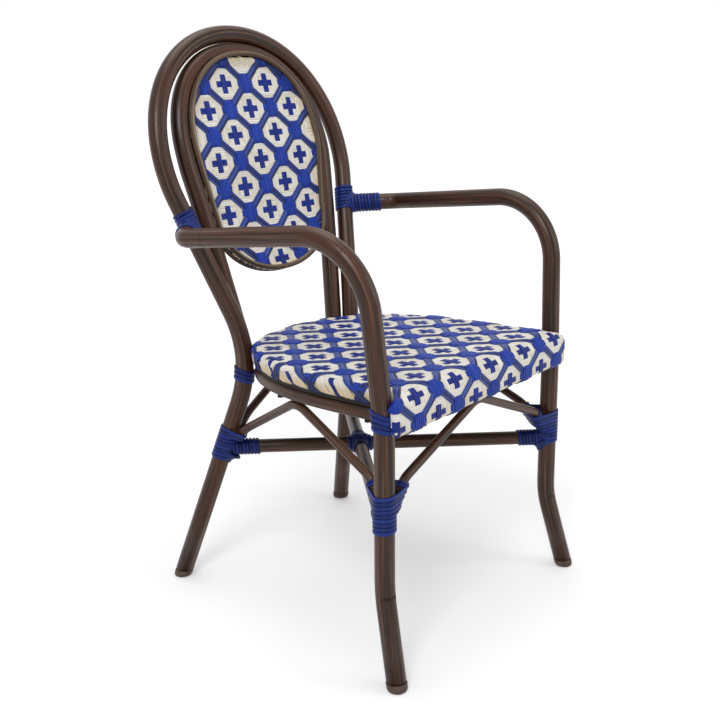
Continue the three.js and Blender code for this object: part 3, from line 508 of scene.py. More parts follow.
def frames_along(route, closed):
    """Two directions square to the route at each point, carried along without twist."""
    tangents = np.roll(route, -1, 0) - np.roll(route, 1, 0) if closed else np.gradient(route, axis=0)
    tangents /= np.linalg.norm(tangents, axis=1)[:, None]
    normals = [square_to(tangents[0], vec(0.3, -0.9, 0.2) if abs(tangents[0][2]) > 0.5 else vec(0, 0, 1))]
    for tangent in tangents[1:]:
        normals.append(square_to(tangent, normals[-1]))
    return np.array(normals), np.cross(tangents, np.array(normals))


NODE_GROOVE = dict(depth=0.45, half=0.8)
GROOVE_STEPS = (-1.6, -1, -0.4, 0, 0.4, 1, 1.6)


def with_node_lines(route, places):
    """Route with extra points at each node line, and at every point how far the tube's surface draws in there."""
    lengths = stations(route)
    groove = [place + d * NODE_GROOVE["half"] for place in places for d in GROOVE_STEPS]
    s = np.sort(np.concatenate([lengths, groove]))
    s = s[np.append(np.diff(s) > 0.05, True)]
    draw = np.zeros(len(s))
    for place in places:
        draw = np.maximum(draw, np.clip(1 - np.abs(s - place) / NODE_GROOVE["half"], 0, 1))
    return np.array([at_distance(route, lengths, v) for v in s]), s, draw


def tube_piece(name, node, route, od, finish, slot, sides, node_lines=(), closed=False):
    """Tube along a route, with a shallow groove at each node line and a grain that runs along it."""
    if closed:
        points, s, draw = route, stations(route), np.zeros(len(route))
    else:
        points, s, draw = with_node_lines(route, node_lines)
    e1, e2 = frames_along(points, closed)
    angle = np.linspace(0, 2 * math.pi, sides, endpoint=False)
    ring = np.cos(angle)[None, :, None] * e1[:, None] + np.sin(angle)[None, :, None] * e2[:, None]
    verts = (points[:, None] + ring * (od / 2 - NODE_GROOVE["depth"] * draw)[:, None, None]).reshape(-1, 3)
    count = len(points)
    quads = grid(count + closed, sides) % (count * sides)
    # Each tube shows its own part of the grain
    seed = sum(map(ord, name)) % 97
    grain = np.stack([np.tile(od / 2 * np.cos(angle), count) + seed * 11,
                      np.tile(od / 2 * np.sin(angle), count) + seed * 7, np.repeat(s + seed * 40, sides)], 1)
    new_piece(name, slot, [node], verts, quads[:, [0, 3, 2, 1]],
              [] if closed else [c[::-1] for c in end_caps(count, sides)], finish, grain=grain,
              node_line=np.repeat(draw, sides))


SIDES = (("left", vec(1, 1, 1)), ("right", across_x))
for name, node, route, od, sides, lines in [
    ("hoop_outer_tube", "outer_back_hoop", outer_route, TUBE, 36, (113, 917, 1247, 2051)),
    ("hoop_inner_tube", "inner_back_hoop", inner_route, TUBE, 36, ()),
    *[row for side, flip in SIDES for row in (
        (f"leg_and_arm_{side}_tube", f"front_leg_and_arm_{side}", leg_route * flip, TUBE, 36, (121, 636, 902)),
        (f"brace_{side}_rod", f"brace_{side}", side_brace * flip, BRACE_ROD, 20, ()))],
    ("brace_front_rod", "brace_front", front_brace, BRACE_ROD, 20, ()),
    ("brace_rear_rod", "brace_rear", rear_brace, BRACE_ROD, 20, ()),
    ("seat_rail_tube", "seat_rail", rail_route, RAIL_TUBE, 28, ()),
    ("front_rail_tube", "front_seat_rail", straight(*cross_route), RAIL_TUBE, 28, ()),
    ("stretcher_long_tube", "long_stretcher", long_route, STRETCHER_TUBE, 28, (333,)),
    ("stretcher_front_tube", "short_stretcher_front", short_front_route, STRETCHER_TUBE, 28, ()),
    ("stretcher_rear_tube", "short_stretcher_rear", short_rear_route, STRETCHER_TUBE, 28, ()),
]:
    tube_piece(name, node, route, od, rattan, "rattan", sides, lines)
for name, node, behind, rod, finish, slot, sides in (
    ("oval_ring_front", "back_trim_ring_front", 0, TRIM_ROD, bronze, "trim", 16),
    ("oval_frame_rod", "back_panel_frame", panel_behind, PANEL_ROD, shadow_black_metal, "metal", 12),
    ("oval_ring_rear", "back_trim_ring_rear", 2 * panel_behind, TRIM_ROD, bronze, "trim", 16),
):
    tube_piece(name, node, oval_route(behind, rod), rod, finish, slot, sides, closed=True)


# Bindings: one flat strand wound on a route round whatever lies there, as in the CAD model but rounder
PROFILE = [(-1, 0.12), (-0.9, 0.62), (-0.55, 0.93), (0, 1.04), (0.55, 0.93), (0.9, 0.62), (1, 0.12), (0.9, 0),
           (-0.9, 0)]
TURN_TINT = dict(spread=0.35, step=2.4)


def strand_piece(name, strands, half_width, shade):
    """Piece of flat strands. Each is rows of a place, the way it is wide, the way out, and the turn's number."""
    around = len(PROFILE)
    verts, fibres, tints, quads, caps = [], [], [], [], []
    for rows in strands:
        quads.append(grid(len(rows), around, len(verts)))
        caps += end_caps(len(rows), around, len(verts))
        for (at, wide, out, turn), s in zip(rows, stations(np.array([row[0] for row in rows]))):
            verts += [at + wide * a * half_width + out * u * STRAND["thick"] for a, u in PROFILE]
            fibres += [(s, a * half_width, u) for a, u in PROFILE]
            tints += [shade + TURN_TINT["spread"] * math.sin(turn * TURN_TINT["step"] + len(name))] * around
    # A wrap takes the place of the CAD model's binding at the same joint, where it has one there
    binding_node = name.replace("wrap_", "binding_")
    new_piece(name, "blue", [binding_node] if binding_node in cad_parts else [], np.array(verts),
              np.vstack(quads), caps, blue_wrap, fibre=fibres, tint=np.clip(tints, 0, 1))


LOOP_STEPS = 36
TUCK = dict(steps=5, depth=3.6)
HIDDEN, HIDDEN_BELOW = vec(0.78, 0.62, 0), vec(0.6, 0.5, -0.6)
UP = vec(0, 0, 1)


def binding(name, route, od, start, loops, pitch, members=None, toward=vec(-1, 0, 0), lean=(0, 0), ends=HIDDEN,
            shade=0.5):
    """Strand wound on a route round whatever lies there, with both ends tucked in on the side that ends gives."""
    lengths = stations(route)
    half_width = (pitch - STRAND["between"]) / 2
    half_step = math.pi / LOOP_STEPS
    total = loops * LOOP_STEPS
    first_axis = unit(at_distance(route, lengths, start + 1) - at_distance(route, lengths, start))
    first_out = square_to(first_axis, toward)
    begin = math.atan2(ends @ np.cross(first_axis, first_out), ends @ first_out)
    rows = []
    for i in range(-2, total + 3):
        angle = begin + 2 * i * half_step
        s = start + i / LOOP_STEPS * pitch
        at = at_distance(route, lengths, s)
        axis = unit(at_distance(route, lengths, s + pitch) - at_distance(route, lengths, s - pitch))
        e1 = square_to(axis, toward)
        e2 = np.cross(axis, e1)
        inside = members(at, axis, half_width + pitch / 10) if members else []

        def flat_at(phi):
            normal = e1 * math.cos(phi) + e2 * math.sin(phi)
            flats = [c @ normal + BRACE_ROD / 2 * math.hypot(1, long @ normal) for c, long in inside]
            return max([od / 2, *flats]) + STRAND["lift"]

        before, after = flat_at(angle - half_step), flat_at(angle + half_step)
        out = e1 * math.cos(angle) + e2 * math.sin(angle)
        along = e2 * math.cos(angle) - e1 * math.sin(angle)
        base = at + out * (before + after) / (2 * math.cos(half_step))
        base = base + along * (after - before) / (2 * math.sin(half_step))
        slant = lean[0] + (lean[1] - lean[0]) * np.clip(i / total, 0, 1)
        base = base + axis * slant * ((base - at) @ e1)
        loose = 1 - min(i + 2, total + 2 - i, TUCK["steps"]) / TUCK["steps"]
        rows.append((base - out * loose ** 2 * TUCK["depth"], axis, out, max(i, 0) // LOOP_STEPS))
    strand_piece(name, [rows], half_width, shade)


CORNER_STEPS, CORNER_HOLLOW = 15, 1.5


def corner_strands(centre, post, arm, reach_post, reach_arm, far, count=6):
    """Strands that cross the corner between a post and an arm, and close it with a hollow curve."""
    normal = unit(np.cross(post, arm))
    face = normal * far["face"]
    corner = arm * far["arm"] + post * far["post"]
    start, end = corner + arm * reach_arm, corner + post * reach_post
    strands = []
    for k in range(count):
        t = (k + 0.5) / count
        edge = start * (1 - t) ** 2 + (corner + (arm + post) * CORNER_HOLLOW) * 2 * t * (1 - t) + end * t ** 2
        away = unit(np.cross((corner - start) * (1 - t) + (end - corner) * t, normal))
        away = away if away @ (arm + post) > 0 else -away
        rows = []
        for turn in np.linspace(-math.pi / 2, math.pi / 2, CORNER_STEPS):
            c, s = math.cos(turn), math.sin(turn)
            travel = unit(face * c - edge * s)
            out = square_to(travel, away * c + normal * s)
            rows.append((centre + edge * c + face * s, np.cross(out, travel), out, k))
        strands.append(rows)
    return strands


CROSSING_STEPS, LOOP_SQUARENESS = 33, 0.8


def crossed_loops(centre, way, normal, reach, rise, gap, turns=3):
    """Closed loops over a crossing of two tubes, through the corners that lie opposite each other."""
    strands = []
    for k in range(turns):
        middle = centre + np.cross(normal, way) * (k - (turns - 1) / 2) * gap
        rows = []
        for turn in np.linspace(0, 2 * math.pi, CROSSING_STEPS):
            c, s = math.cos(turn), math.sin(turn)
            flat_c, flat_s = (math.copysign(abs(v) ** LOOP_SQUARENESS, v) for v in (c, s))
            travel = unit(normal * rise * c - way * reach * s)
            out = square_to(travel, way * c * rise + normal * s * reach)
            rows.append((middle + way * reach * flat_c + normal * rise * flat_s, np.cross(out, travel), out, k))
        strands.append(rows)
    return strands


FOOT_BULGE = 6.0


def brace_members(feet, flip):
    """What lies beside the leg inside a binding: both brace feet, and how they stretch across it."""
    def members(at, axis, above):
        found = []
        for end, bend in feet.values():
            end, bend = end * flip, bend * flip
            run = unit(bend - end)
            up = (at + axis * above - end) @ axis
            across = math.sqrt(1 - (run @ axis) ** 2)
            share = min(max(1 + (up + BRACE_ROD / 2 * across) / FOOT_BULGE, 0), 1)
            centre = end + run * max(up, 0) / (run @ axis) - at
            stretch = across / (run @ axis)
            found.append(((centre - axis * (centre @ axis)) * share, square_to(axis, run) * stretch * share))
        return found
    return members


RAIL_SIDE = vec(0.62, 0.78, 0)
FRONT_LEG_WRAP, REAR_LEG_WRAP, FRONT_RAIL_WRAP, REAR_RAIL_WRAP = 237, 227, 403, 375
HOOP_WRAP_ABOVE_JOINT = 9
HOOP_WRAP_PROUD, ARM_WRAP_CLEAR, CAD_LOOP_SIDES = 2.7, 3.8, 10


def centred(route, height, loops, pitch):
    return distance_to(route, height) - loops * pitch / 2


LEG_LOOPS, HOOP_LOOPS, ARM_LOOPS, TIE_LOOPS = (9, 6.45), (7, 6.3), (10, 6.2), (2, 4.4)
FRONT_RAIL_LOOPS, REAR_RAIL_LOOPS = (4, STRAND["pitch"]), (3, STRAND["pitch"])
TIE_START = 22.0
ARM_WRAP_BACK = 6 * STRAND["pitch"]
for side, flip in SIDES:
    leg, rear, rail_side = leg_route * flip, outer_half * flip, RAIL_SIDE * flip
    binding(f"wrap_front_leg_{side}", leg, TUBE, distance_to(leg, FRONT_LEG_WRAP), *LEG_LOOPS,
            brace_members(front_feet, flip))
    binding(f"wrap_rear_leg_{side}", rear, TUBE, distance_to(rear, REAR_LEG_WRAP), *LEG_LOOPS,
            brace_members(rear_feet, flip))
    binding(f"wrap_front_rail_{side}", leg, TUBE, centred(leg, FRONT_RAIL_WRAP, *FRONT_RAIL_LOOPS), *FRONT_RAIL_LOOPS,
            toward=rail_side, lean=(0.3, 0.62))
    binding(f"wrap_rear_rail_{side}", rear, TUBE, centred(rear, REAR_RAIL_WRAP, *REAR_RAIL_LOOPS), *REAR_RAIL_LOOPS,
            toward=rail_side, lean=(0.25, 0.45), shade=0.35)
    binding(f"wrap_hoop_{side}", rear, TUBE, centred(rear, ARM_JOINT_HEIGHT + HOOP_WRAP_ABOVE_JOINT, *HOOP_LOOPS),
            *HOOP_LOOPS)
    hoop_wrap_reach = (TUBE / 2 + HOOP_WRAP_PROUD) / math.cos(math.pi / CAD_LOOP_SIDES)
    arm_end = stations(leg)[-1] - hoop_wrap_reach - GAP - ARM_WRAP_CLEAR
    binding(f"wrap_arm_{side}", leg, TUBE, arm_end - ARM_WRAP_BACK, *ARM_LOOPS, toward=UP, ends=vec(0.5, 0.4, -0.77))
    binding(f"tie_brace_{side}", side_brace * flip, BRACE_ROD, TIE_START, *TIE_LOOPS, shade=0.75)
    binding(f"tie_brace_front_{side}", front_brace * flip, BRACE_ROD, TIE_START, *TIE_LOOPS, shade=0.75)

STRETCHER_PITCH = STRAND["stretcher_pitch"]
FROM_LEG, FROM_CROSSING = 13.0, 11.5
STRETCHER_ENDS = (("rear_right", 8, outer_half * across_x, long_route),
                  ("front_left", 7, leg_route, long_route[::-1]),
                  ("front_right", 7, leg_route * across_x, short_front_route),
                  ("rear_left", 8, outer_half, short_rear_route))
to_crossing = np.linalg.norm(crossing - long_route[0])
# The stretcher wraps take a low shade, and the crossing's wraps lower still: painted shade, as they lie in shadow
# under the seat
for name, route, start, loops, shade in (
    *[(f"stretcher_{end}", route, FROM_LEG, loops, 0.25) for end, loops, _, route in STRETCHER_ENDS],
    ("crossing", long_route, to_crossing - 3.5 * STRETCHER_PITCH, 7, 0.05),
    ("crossing_front", short_front_route[::-1], FROM_CROSSING, 3, 0.05),
    ("crossing_rear", short_rear_route[::-1], FROM_CROSSING, 3, 0.05),
):
    binding(f"wrap_{name}", route, STRETCHER_TUBE, start, loops, STRETCHER_PITCH, toward=UP, ends=HIDDEN_BELOW,
            shade=shade)

# Strands through the corners of the joints, and both ways over the stretchers' crossing
LEG_CORNER, ARM_CORNER = dict(arm=15.5, post=10.5, face=14.5), dict(arm=14.5, post=14.5, face=16.0)
# Reach along the post and the arm, of the strands above the arm and below it
LEG_REACH, ARM_REACH = ((9, 8), (13, 16)), ((9, 13), (2, 11))
CORNER_HALF_WIDTH, CROSSING_HALF_WIDTH = 2.3, 2.2
CROSSING_LOOPS = dict(reach=18.0, rise=14.8, gap=4.6)


def corner_piece(name, joint, up_post, arm, reaches, far, shade):
    """Strands through both corners of a joint, above the arm and below it."""
    strands = [corner_strands(joint, post, arm, *reach, far) for post, reach in zip((up_post, -up_post), reaches)]
    strand_piece(name, sum(strands, []), CORNER_HALF_WIDTH, shade)


# The corners at the stretchers take a low shade: painted shade, as they lie in shadow low under the seat
for end, _, post, route in STRETCHER_ENDS:
    post_way = on_route(post, STRETCHER_HEIGHT)[1]
    arm_way = square_to(post_way, unit(route[-1] - route[0]))
    corner_piece(f"wrap_corner_{end}", route[0], post_way, arm_way, LEG_REACH, LEG_CORNER, 0.2)
for side, flip in SIDES:
    leg = leg_route * flip
    joint, post_way, _ = on_route(outer_half * flip, ARM_JOINT_HEIGHT)
    arm_way = square_to(post_way, leg[-2] - leg[-1])
    above = post_way if post_way[2] > 0 else -post_way
    corner_piece(f"wrap_corner_arm_{side}", joint, above, arm_way, ARM_REACH, ARM_CORNER, 0.45)
long_way, short_way = unit(long_route[-1] - long_route[0]), unit(short_front_route[0] - crossing)
flat_way = unit(np.cross(long_way, short_way))
both_ways = [crossed_loops(crossing, way, flat_way, **CROSSING_LOOPS)
             for way in (unit(long_way + short_way), unit(long_way - short_way))]
strand_piece("wrap_crossing_loops", sum(both_ways, []), CROSSING_HALF_WIDTH, 0.05)

# Feet: rubber caps with a rounded lower edge, as level rings down the leg's line
FOOT_PROFILE = [(FOOT_HEIGHT - GAP, 13.6), (FOOT_HEIGHT - GAP, 15.4), (FOOT_HEIGHT - 1.6, 15.9),
                (FOOT_HEIGHT - 4, 15.6), (4.4, 15.6), (2.6, 15.1), (1.2, 14.1), (0.35, 12.7), (0, 10.8)]
FOOT_SIDES = 40
for side, flip in SIDES:
    for end, (x, y), direction in (("front", FRONT_FOOT, front_leg_dir), ("rear", REAR_FOOT, rear_leg_dir)):
        angle = np.linspace(0, 2 * math.pi, FOOT_SIDES, endpoint=False)
        circle = np.stack([np.cos(angle), np.sin(angle), np.zeros(FOOT_SIDES)], 1)
        verts = np.vstack([along_leg(x, y, direction, z + FLOOR_LEVEL) + circle * r for z, r in FOOT_PROFILE]) * flip
        # A mirrored cap has its faces turned round, so that they still point outwards
        order = slice(None, None, int(flip[0]))
        new_piece(f"foot_cap_{end}_{side}", "rubber", [f"foot_{end}_{side}"], verts,
                  grid(len(FOOT_PROFILE), FOOT_SIDES)[:, order],
                  [c[order] for c in end_caps(len(FOOT_PROFILE), FOOT_SIDES)], rubber)


# Woven strand: flat paths swept by geometry nodes, then laid on the chair
SECTION_POINTS = 6
FLAT_SIDE_UP = math.pi / SECTION_POINTS


def sweep_tree():
    """Sweeps every edge path with a flat strand section. Inputs: Width, Thickness, Section points, Finish."""
    tree = bpy.data.node_groups.new("woven_strand_sweep", "GeometryNodeTree")
    for name, kind in (("Geometry", "Geometry"), ("Width", "Float"), ("Thickness", "Float"),
                       ("Section points", "Int"), ("Finish", "Material")):
        tree.interface.new_socket(name, in_out="INPUT", socket_type=f"NodeSocket{kind}")
    tree.interface.new_socket("Geometry", in_out="OUTPUT", socket_type="NodeSocketGeometry")
    given = add(tree, "NodeGroupInput")
    paths = add(tree, "GeometryNodeMeshToCurve", {"Mesh": given["Geometry"]})[0]
    paths = add(tree, "GeometryNodeSetCurveNormal", {"Curve": paths}, mode="Z_UP")[0]
    circle = add(tree, "GeometryNodeCurvePrimitiveCircle", {"Resolution": given["Section points"], "Radius": 0.5})[0]
    turned = add(tree, "GeometryNodeTransform", {"Geometry": circle, "Rotation": (0, 0, FLAT_SIDE_UP)})[0]
    size = add(tree, "ShaderNodeCombineXYZ", {"X": given["Width"], "Y": given["Thickness"], "Z": 1.0})[0]
    shape = add(tree, "GeometryNodeTransform", {"Geometry": turned, "Scale": size})[0]
    strand = add(tree, "GeometryNodeCurveToMesh", {"Curve": paths, "Profile Curve": shape, "Fill Caps": True})[0]
    strand = add(tree, "GeometryNodeSetShadeSmooth", {"Geometry": strand})[0]
    strand = add(tree, "GeometryNodeRealizeInstances", {"Geometry": strand})[0]
    strand = add(tree, "GeometryNodeSetMaterial", {"Geometry": strand, "Material": given["Finish"]})[0]
    add(tree, "NodeGroupOutput", {"Geometry": strand})
    return tree


strand_sweep = sweep_tree()


def swept(paths, width, thickness, finish):
    """Flat mesh of all the paths, swept. Each path is its points, each with its tint, and its direction."""
    points = np.vstack([p for p, _ in paths])
    edges, first = [], 0
    for p, _ in paths:
        edges += [(first + k, first + k + 1) for k in range(len(p) - 1)]
        first += len(p)
    mesh = bpy.data.meshes.new("flat_paths")
    mesh.from_pydata(points[:, :3].tolist(), edges, [])
    give(mesh, heading=np.concatenate([[heading] * len(p) for p, heading in paths]), tint=points[:, 3].clip(0, 1))
    holder = bpy.data.objects.new("flat_paths", mesh)
    bpy.context.scene.collection.objects.link(holder)
    modifier = holder.modifiers.new("sweep", "NODES")
    modifier.node_group = strand_sweep
    values = {"Width": width / math.cos(FLAT_SIDE_UP), "Thickness": thickness, "Section points": SECTION_POINTS,
              "Finish": finish}
    for item in strand_sweep.interface.items_tree:
        if item.in_out == "INPUT" and item.name in values:
            modifier[item.identifier] = values[item.name]
    bpy.context.view_layer.update()
    flat = bpy.data.meshes.new_from_object(holder.evaluated_get(bpy.context.evaluated_depsgraph_get()))
    holder.modifiers.remove(modifier)
    bpy.data.objects.remove(holder)
    return flat


def laid(name, flat, lay, nodes):
    """Piece whose flat mesh is laid on the chair by lay(x, y, height), which also gives how much painted shade the
    strands get near the cloth's edge.
    """
    count = len(flat.vertices)
    place, heading = np.empty(count * 3, np.float32), np.empty(count, np.float32)
    flat.vertices.foreach_get("co", place)
    flat.attributes["heading"].data.foreach_get("value", heading)
    x, y, h = place.reshape(-1, 3).astype(float).T
    c, s = np.cos(heading), np.sin(heading)
    solid, edge = lay(x, y, h)
    # The edge attribute carries that painted shade to the strand finish
    give(flat, fibre=np.stack([x * c + y * s, y * c - x * s, h], 1), edge=edge)
    flat.vertices.foreach_set("co", ((solid + FRAME_SHIFT) * MM).astype(np.float32).ravel())
    flat.update()
    flat.name = name
    settle(name, flat, nodes)


# How high strands lie over the cloth's middle, in millimetres, and how far the figures reach, in strands
HEIGHT = dict(woven=0.55, pressed=0.45, middle=1.0, floating=2.8, pair=2.5, band=1.85)
REACH = dict(three=1.6, octagon=4.55, node=4.3, floating=4.4, plain=5.2)
PAIR_COLUMNS, PAIR_ROWS = (2.4, 4.6), 2
BAND_SQUEEZE = dict(ends=12.0, over=2.5)
SHORT_FLOAT = dict(aside=2.12, flare=0.2, rows=vec(-4.9, -4.5, -3.3, -1.6, 0, 1.6, 3.3, 4.5, 4.9),
                   heights=vec(0.4, 1.6, 2.7, 2.8, 2.8, 2.8, 2.7, 1.6, 0.4))
CREAM_STRAND, BLUE_STRAND, PLUS_STRAND, BAND_STRAND = (3.66, 1.15), (3.85, 1.2), (5.1, 1.2), (4.3, 1.3)
BAND_SPACING, BAND_STEP, FARTHEST_BAND = 4.15, 3.3, 41
# Each band's group, way, height at a node and tints of its three strands; the tints paint light and shade across each
# band, a highlight down the middle strand of the upward bands and shade down the middle of the downward ones
BANDS = (("bands_up", 1, 1.9, (0.1, 0.9, 0.45)), ("bands_down", -1, 1.45, (0.5, 0.1, 0.5)))
PAIR_CLOSER = 0.3
# Painted light and shade by height: blue strands that float high over the cloth are drawn lighter, and woven ones
# darker
BLUE_TINT = dict(floating_over=2, floating=0.55, woven=0.05, spread=0.35)


class Lattice:
    """Octagons and square nodes by turns, like a chessboard, with across and along the half periods."""

    def __init__(self, x0, y0, across, along, strands_across, strands_along, plain_at=None):
        self.x0, self.y0, self.across, self.along, self.plain_at = x0, y0, across, along, plain_at
        self.nx, self.ny = strands_across, strands_along
        self.px, self.py = across / strands_across, along / strands_along

    def nearest(self, x, y, parity):
        """Offsets from the nearest lattice place of that parity: 0 octagon, 1 node."""
        p = (x - self.x0) / self.across
        q = (y - self.y0) / self.along
        m, n = np.round(p), np.round(q)
        dp, dq = p - m, q - n
        odd = (np.mod(m + n, 2) != parity)
        step_p = odd & (np.abs(dp) >= np.abs(dq))
        step_q = odd & ~step_p
        m = m + step_p * np.where(dp >= 0, 1, -1)
        n = n + step_q * np.where(dq >= 0, 1, -1)
        return (p - m) * self.across, (q - n) * self.along

    def along_height(self, x, y):
        """Height of a strand that runs along: over the one across, under it, or floating at a node."""
        a, b = np.abs(self.nearest(x, y, 0))
        c, d = np.abs(self.nearest(x, y, 1))
        px, py, three, woven = self.px, self.py, REACH["three"], HEIGHT["woven"]
        height = np.where(b / self.along < a / self.across, woven, -woven)
        height = np.where((b < three * py) & (a < REACH["octagon"] * px), -woven, height)
        height = np.where((d < three * py) & (c < REACH["node"] * px), -woven, height)
        height = np.where((a < three * px) & (b < REACH["node"] * py), HEIGHT["middle"], height)
        return np.where((c < three * px) & (d < REACH["floating"] * py), HEIGHT["floating"], height)

    def across_height(self, x, y):
        return -np.clip(self.along_height(x, y), -HEIGHT["woven"], HEIGHT["pressed"])

    def pair_height(self, x, y):
        """Height of the blue pairs, which come up over the bands on both sides of a node."""
        c, d = self.nearest(x, y, 1)
        c, d = np.abs(c) / self.px, np.abs(d) / self.py
        beside = (c > PAIR_COLUMNS[0]) & (c < PAIR_COLUMNS[1]) & (d < PAIR_ROWS)
        return np.where(beside, HEIGHT["pair"], self.across_height(x, y))

    def plain(self, x, y):
        """Whether a place is in an octagon that the rim cuts, where blue strands give way to cream."""
        if self.plain_at is None:
            return np.zeros(np.shape(x), bool)
        a, b = self.nearest(x, y, 0)
        near = (np.abs(a) < REACH["plain"] * self.px) & (np.abs(b) < REACH["plain"] * self.py)
        return near & self.plain_at(x - a, y - b)

    def diagonal_height(self, x, y, at_node):
        """Height of a band's strand: on the cloth, and squeezed under the floats at each node."""
        squeezed = (BAND_SQUEEZE["ends"] - np.abs(self.nearest(x, y, 1)[0])) / BAND_SQUEEZE["over"]
        return HEIGHT["band"] + (at_node - HEIGHT["band"]) * np.clip(squeezed, 0, 1)


def runs(points, keep):
    """Stretches of a strand's points that are kept, each at least three points long."""
    found, current = [], []
    for p, ok in zip(points, keep):
        if ok:
            current.append(p)
        elif current:
            found.append(current)
            current = []
    found.append(current)
    return [np.array(r) for r in found if len(r) >= 3]


def whole_steps(low, high, start, step):
    """Numbers of the whole steps from a start that together reach from low to high."""
    return range(math.floor((low - start) / step), math.ceil((high - start) / step) + 1)


def woven_paths(lattice, low, high, keep):
    """Paths of every strand of the cloth between two corners, where keep says it shows, sorted by what they are."""
    rng = np.random.default_rng(7)
    groups = {k: [] for k in ("cream_across", "cream_along", "blue_across", "blue_along", "bands_up", "bands_down")}
    columns = whole_steps(low[0], high[0], lattice.x0, lattice.px)
    rows = whole_steps(low[1], high[1], lattice.y0, lattice.py)
    xs, ys = lattice.x0 + np.array(columns) * lattice.px, lattice.y0 + np.array(rows) * lattice.py

    def put(group, x, y, h, heading, tint=None):
        x, y, h = np.broadcast_arrays(x, y, h)
        tint = rng.uniform(0, 1) if tint is None else tint + rng.uniform(-0.1, 0.1)
        # Blue strands get their painted light and shade from their height here
        if group.startswith("blue"):
            level = np.where(h > BLUE_TINT["floating_over"], BLUE_TINT["floating"], BLUE_TINT["woven"])
            tint = level + BLUE_TINT["spread"] * tint
        points = np.stack(np.broadcast_arrays(x, y, h, tint), 1)
        kept, plain = keep(x, y, heading), lattice.plain(x, y) & group.startswith("blue")
        for run in runs(points, kept & ~plain):
            groups[group].append((run, heading))
        points[:, 2] = np.minimum(points[:, 2], HEIGHT["woven"])
        for run in runs(points, kept & plain):
            groups[group.replace("blue", "cream")].append((run, heading))

    for k in columns:
        x = lattice.x0 + k * lattice.px
        height = lattice.along_height(x, ys)
        if (k + 1) % lattice.nx <= 2:
            put("blue_along", x, ys, height, math.pi / 2)
        else:
            put("cream_along", x, ys, np.minimum(height, HEIGHT["woven"]), math.pi / 2)
    for j in rows:
        beside = (j + 1) % lattice.ny
        y = lattice.y0 + j * lattice.py
        if beside in (0, 2):
            y += lattice.py * (PAIR_CLOSER if beside == 0 else -PAIR_CLOSER)
            put("blue_across", xs, y, lattice.pair_height(xs, y), 0)
        elif beside > 2:
            put("cream_across", xs, y, lattice.across_height(xs, y), 0)
    # Short floats beside the three middle ones at each node
    for m in whole_steps(low[0], high[0], lattice.x0, lattice.across):
        for n in whole_steps(low[1], high[1], lattice.y0, lattice.along):
            if (m + n) % 2 == 0:
                continue
            cx, cy = lattice.x0 + m * lattice.across, lattice.y0 + n * lattice.along
            t = SHORT_FLOAT["rows"]
            aside = SHORT_FLOAT["aside"] + SHORT_FLOAT["flare"] * (t / 4) ** 2
            for sign in (-1, 1):
                put("blue_along", cx + sign * aside * lattice.px, cy + t * lattice.py, SHORT_FLOAT["heights"],
                    math.pi / 2)
    # Diagonal bands of three strands through the nodes
    length = math.hypot(lattice.across, lattice.along)
    ux, uy = lattice.across / length, lattice.along / length
    spread = math.hypot(high[0] - low[0], high[1] - low[1])
    steps = np.arange(-spread, spread, BAND_STEP)
    for group, sign, at_node, tints in BANDS:
        for band in range(-FARTHEST_BAND, FARTHEST_BAND + 1, 2):
            for strand, tint in zip((-1, 0, 1), tints):
                off = strand * BAND_SPACING
                x = lattice.x0 + band * lattice.across + steps * ux - sign * uy * off
                y = lattice.y0 + sign * steps * uy + ux * off
                near = (x > low[0]) & (x < high[0]) & (y > low[1]) & (y < high[1])
                if near.sum() < 3:
                    continue
                x, y = x[near], y[near]
                put(group, x, y, lattice.diagonal_height(x, y, at_node), math.atan2(sign * uy, ux), tint)
    return groups


def weave_pieces(name, paths, lay, node, creams):
    """The cloth's pieces, one for each kind of strand; the first replaces the CAD solid."""
    parts = [(part, groups, CREAM_STRAND, cream_weave) for part, groups in creams] + [
        ("blue", ["blue_along"], BLUE_STRAND, blue_weave), ("blue_pairs", ["blue_across"], PLUS_STRAND, blue_weave),
        ("bands_up", ["bands_up"], BAND_STRAND, blue_band), ("bands_down", ["bands_down"], BAND_STRAND, blue_band)]
    for part, groups, size, finish in parts:
        flat = swept([p for g in groups for p in paths[g]], *size, finish)
        laid(f"{name}_{part}", flat, lay, [node] if part == parts[0][0] else [])


def in_polygon(outline, x, y):
    """Whether points lie inside a closed outline."""
    x, y = np.broadcast_arrays(np.asarray(x, float), np.asarray(y, float))
    inside = np.zeros(x.shape, bool)
    for (x0, y0), (x1, y1) in zip(outline, np.roll(outline, -1, 0)):
        if y0 == y1:
            continue
        crosses = (y0 > y) != (y1 > y)
        inside ^= crosses & (x < (x1 - x0) * (y - y0) / (y1 - y0) + x0)
    return inside


def smooth_share(value, low, high):
    """From 0 below low to 1 above high, with no corner at either."""
    t = np.clip((value - low) / (high - low), 0, 1)
    return t * t * (3 - 2 * t)


def beyond_line(outline, x, y):
    """Distance outside a closed or open outline, with the nearest place on it and the way out there."""
    best = np.full(len(x), 1e9)
    foot = np.zeros((len(x), 2))
    for start, step in zip(outline[:-1], np.diff(outline, axis=0)):
        size = step @ step
        if size == 0:
            continue
        t = np.clip(((x - start[0]) * step[0] + (y - start[1]) * step[1]) / size, 0, 1)
        px, py = start[0] + t * step[0], start[1] + t * step[1]
        distance = (x - px) ** 2 + (y - py) ** 2
        closer = distance < best
        best = np.where(closer, distance, best)
        foot[closer] = np.stack([px, py], 1)[closer]
    sign = np.where(in_polygon(outline, x, y), -1, 1)
    out = (np.stack([x, y], 1) - foot) * (sign / np.maximum(np.sqrt(best), 1e-6))[:, None]
    return np.sqrt(best) * sign, foot, out


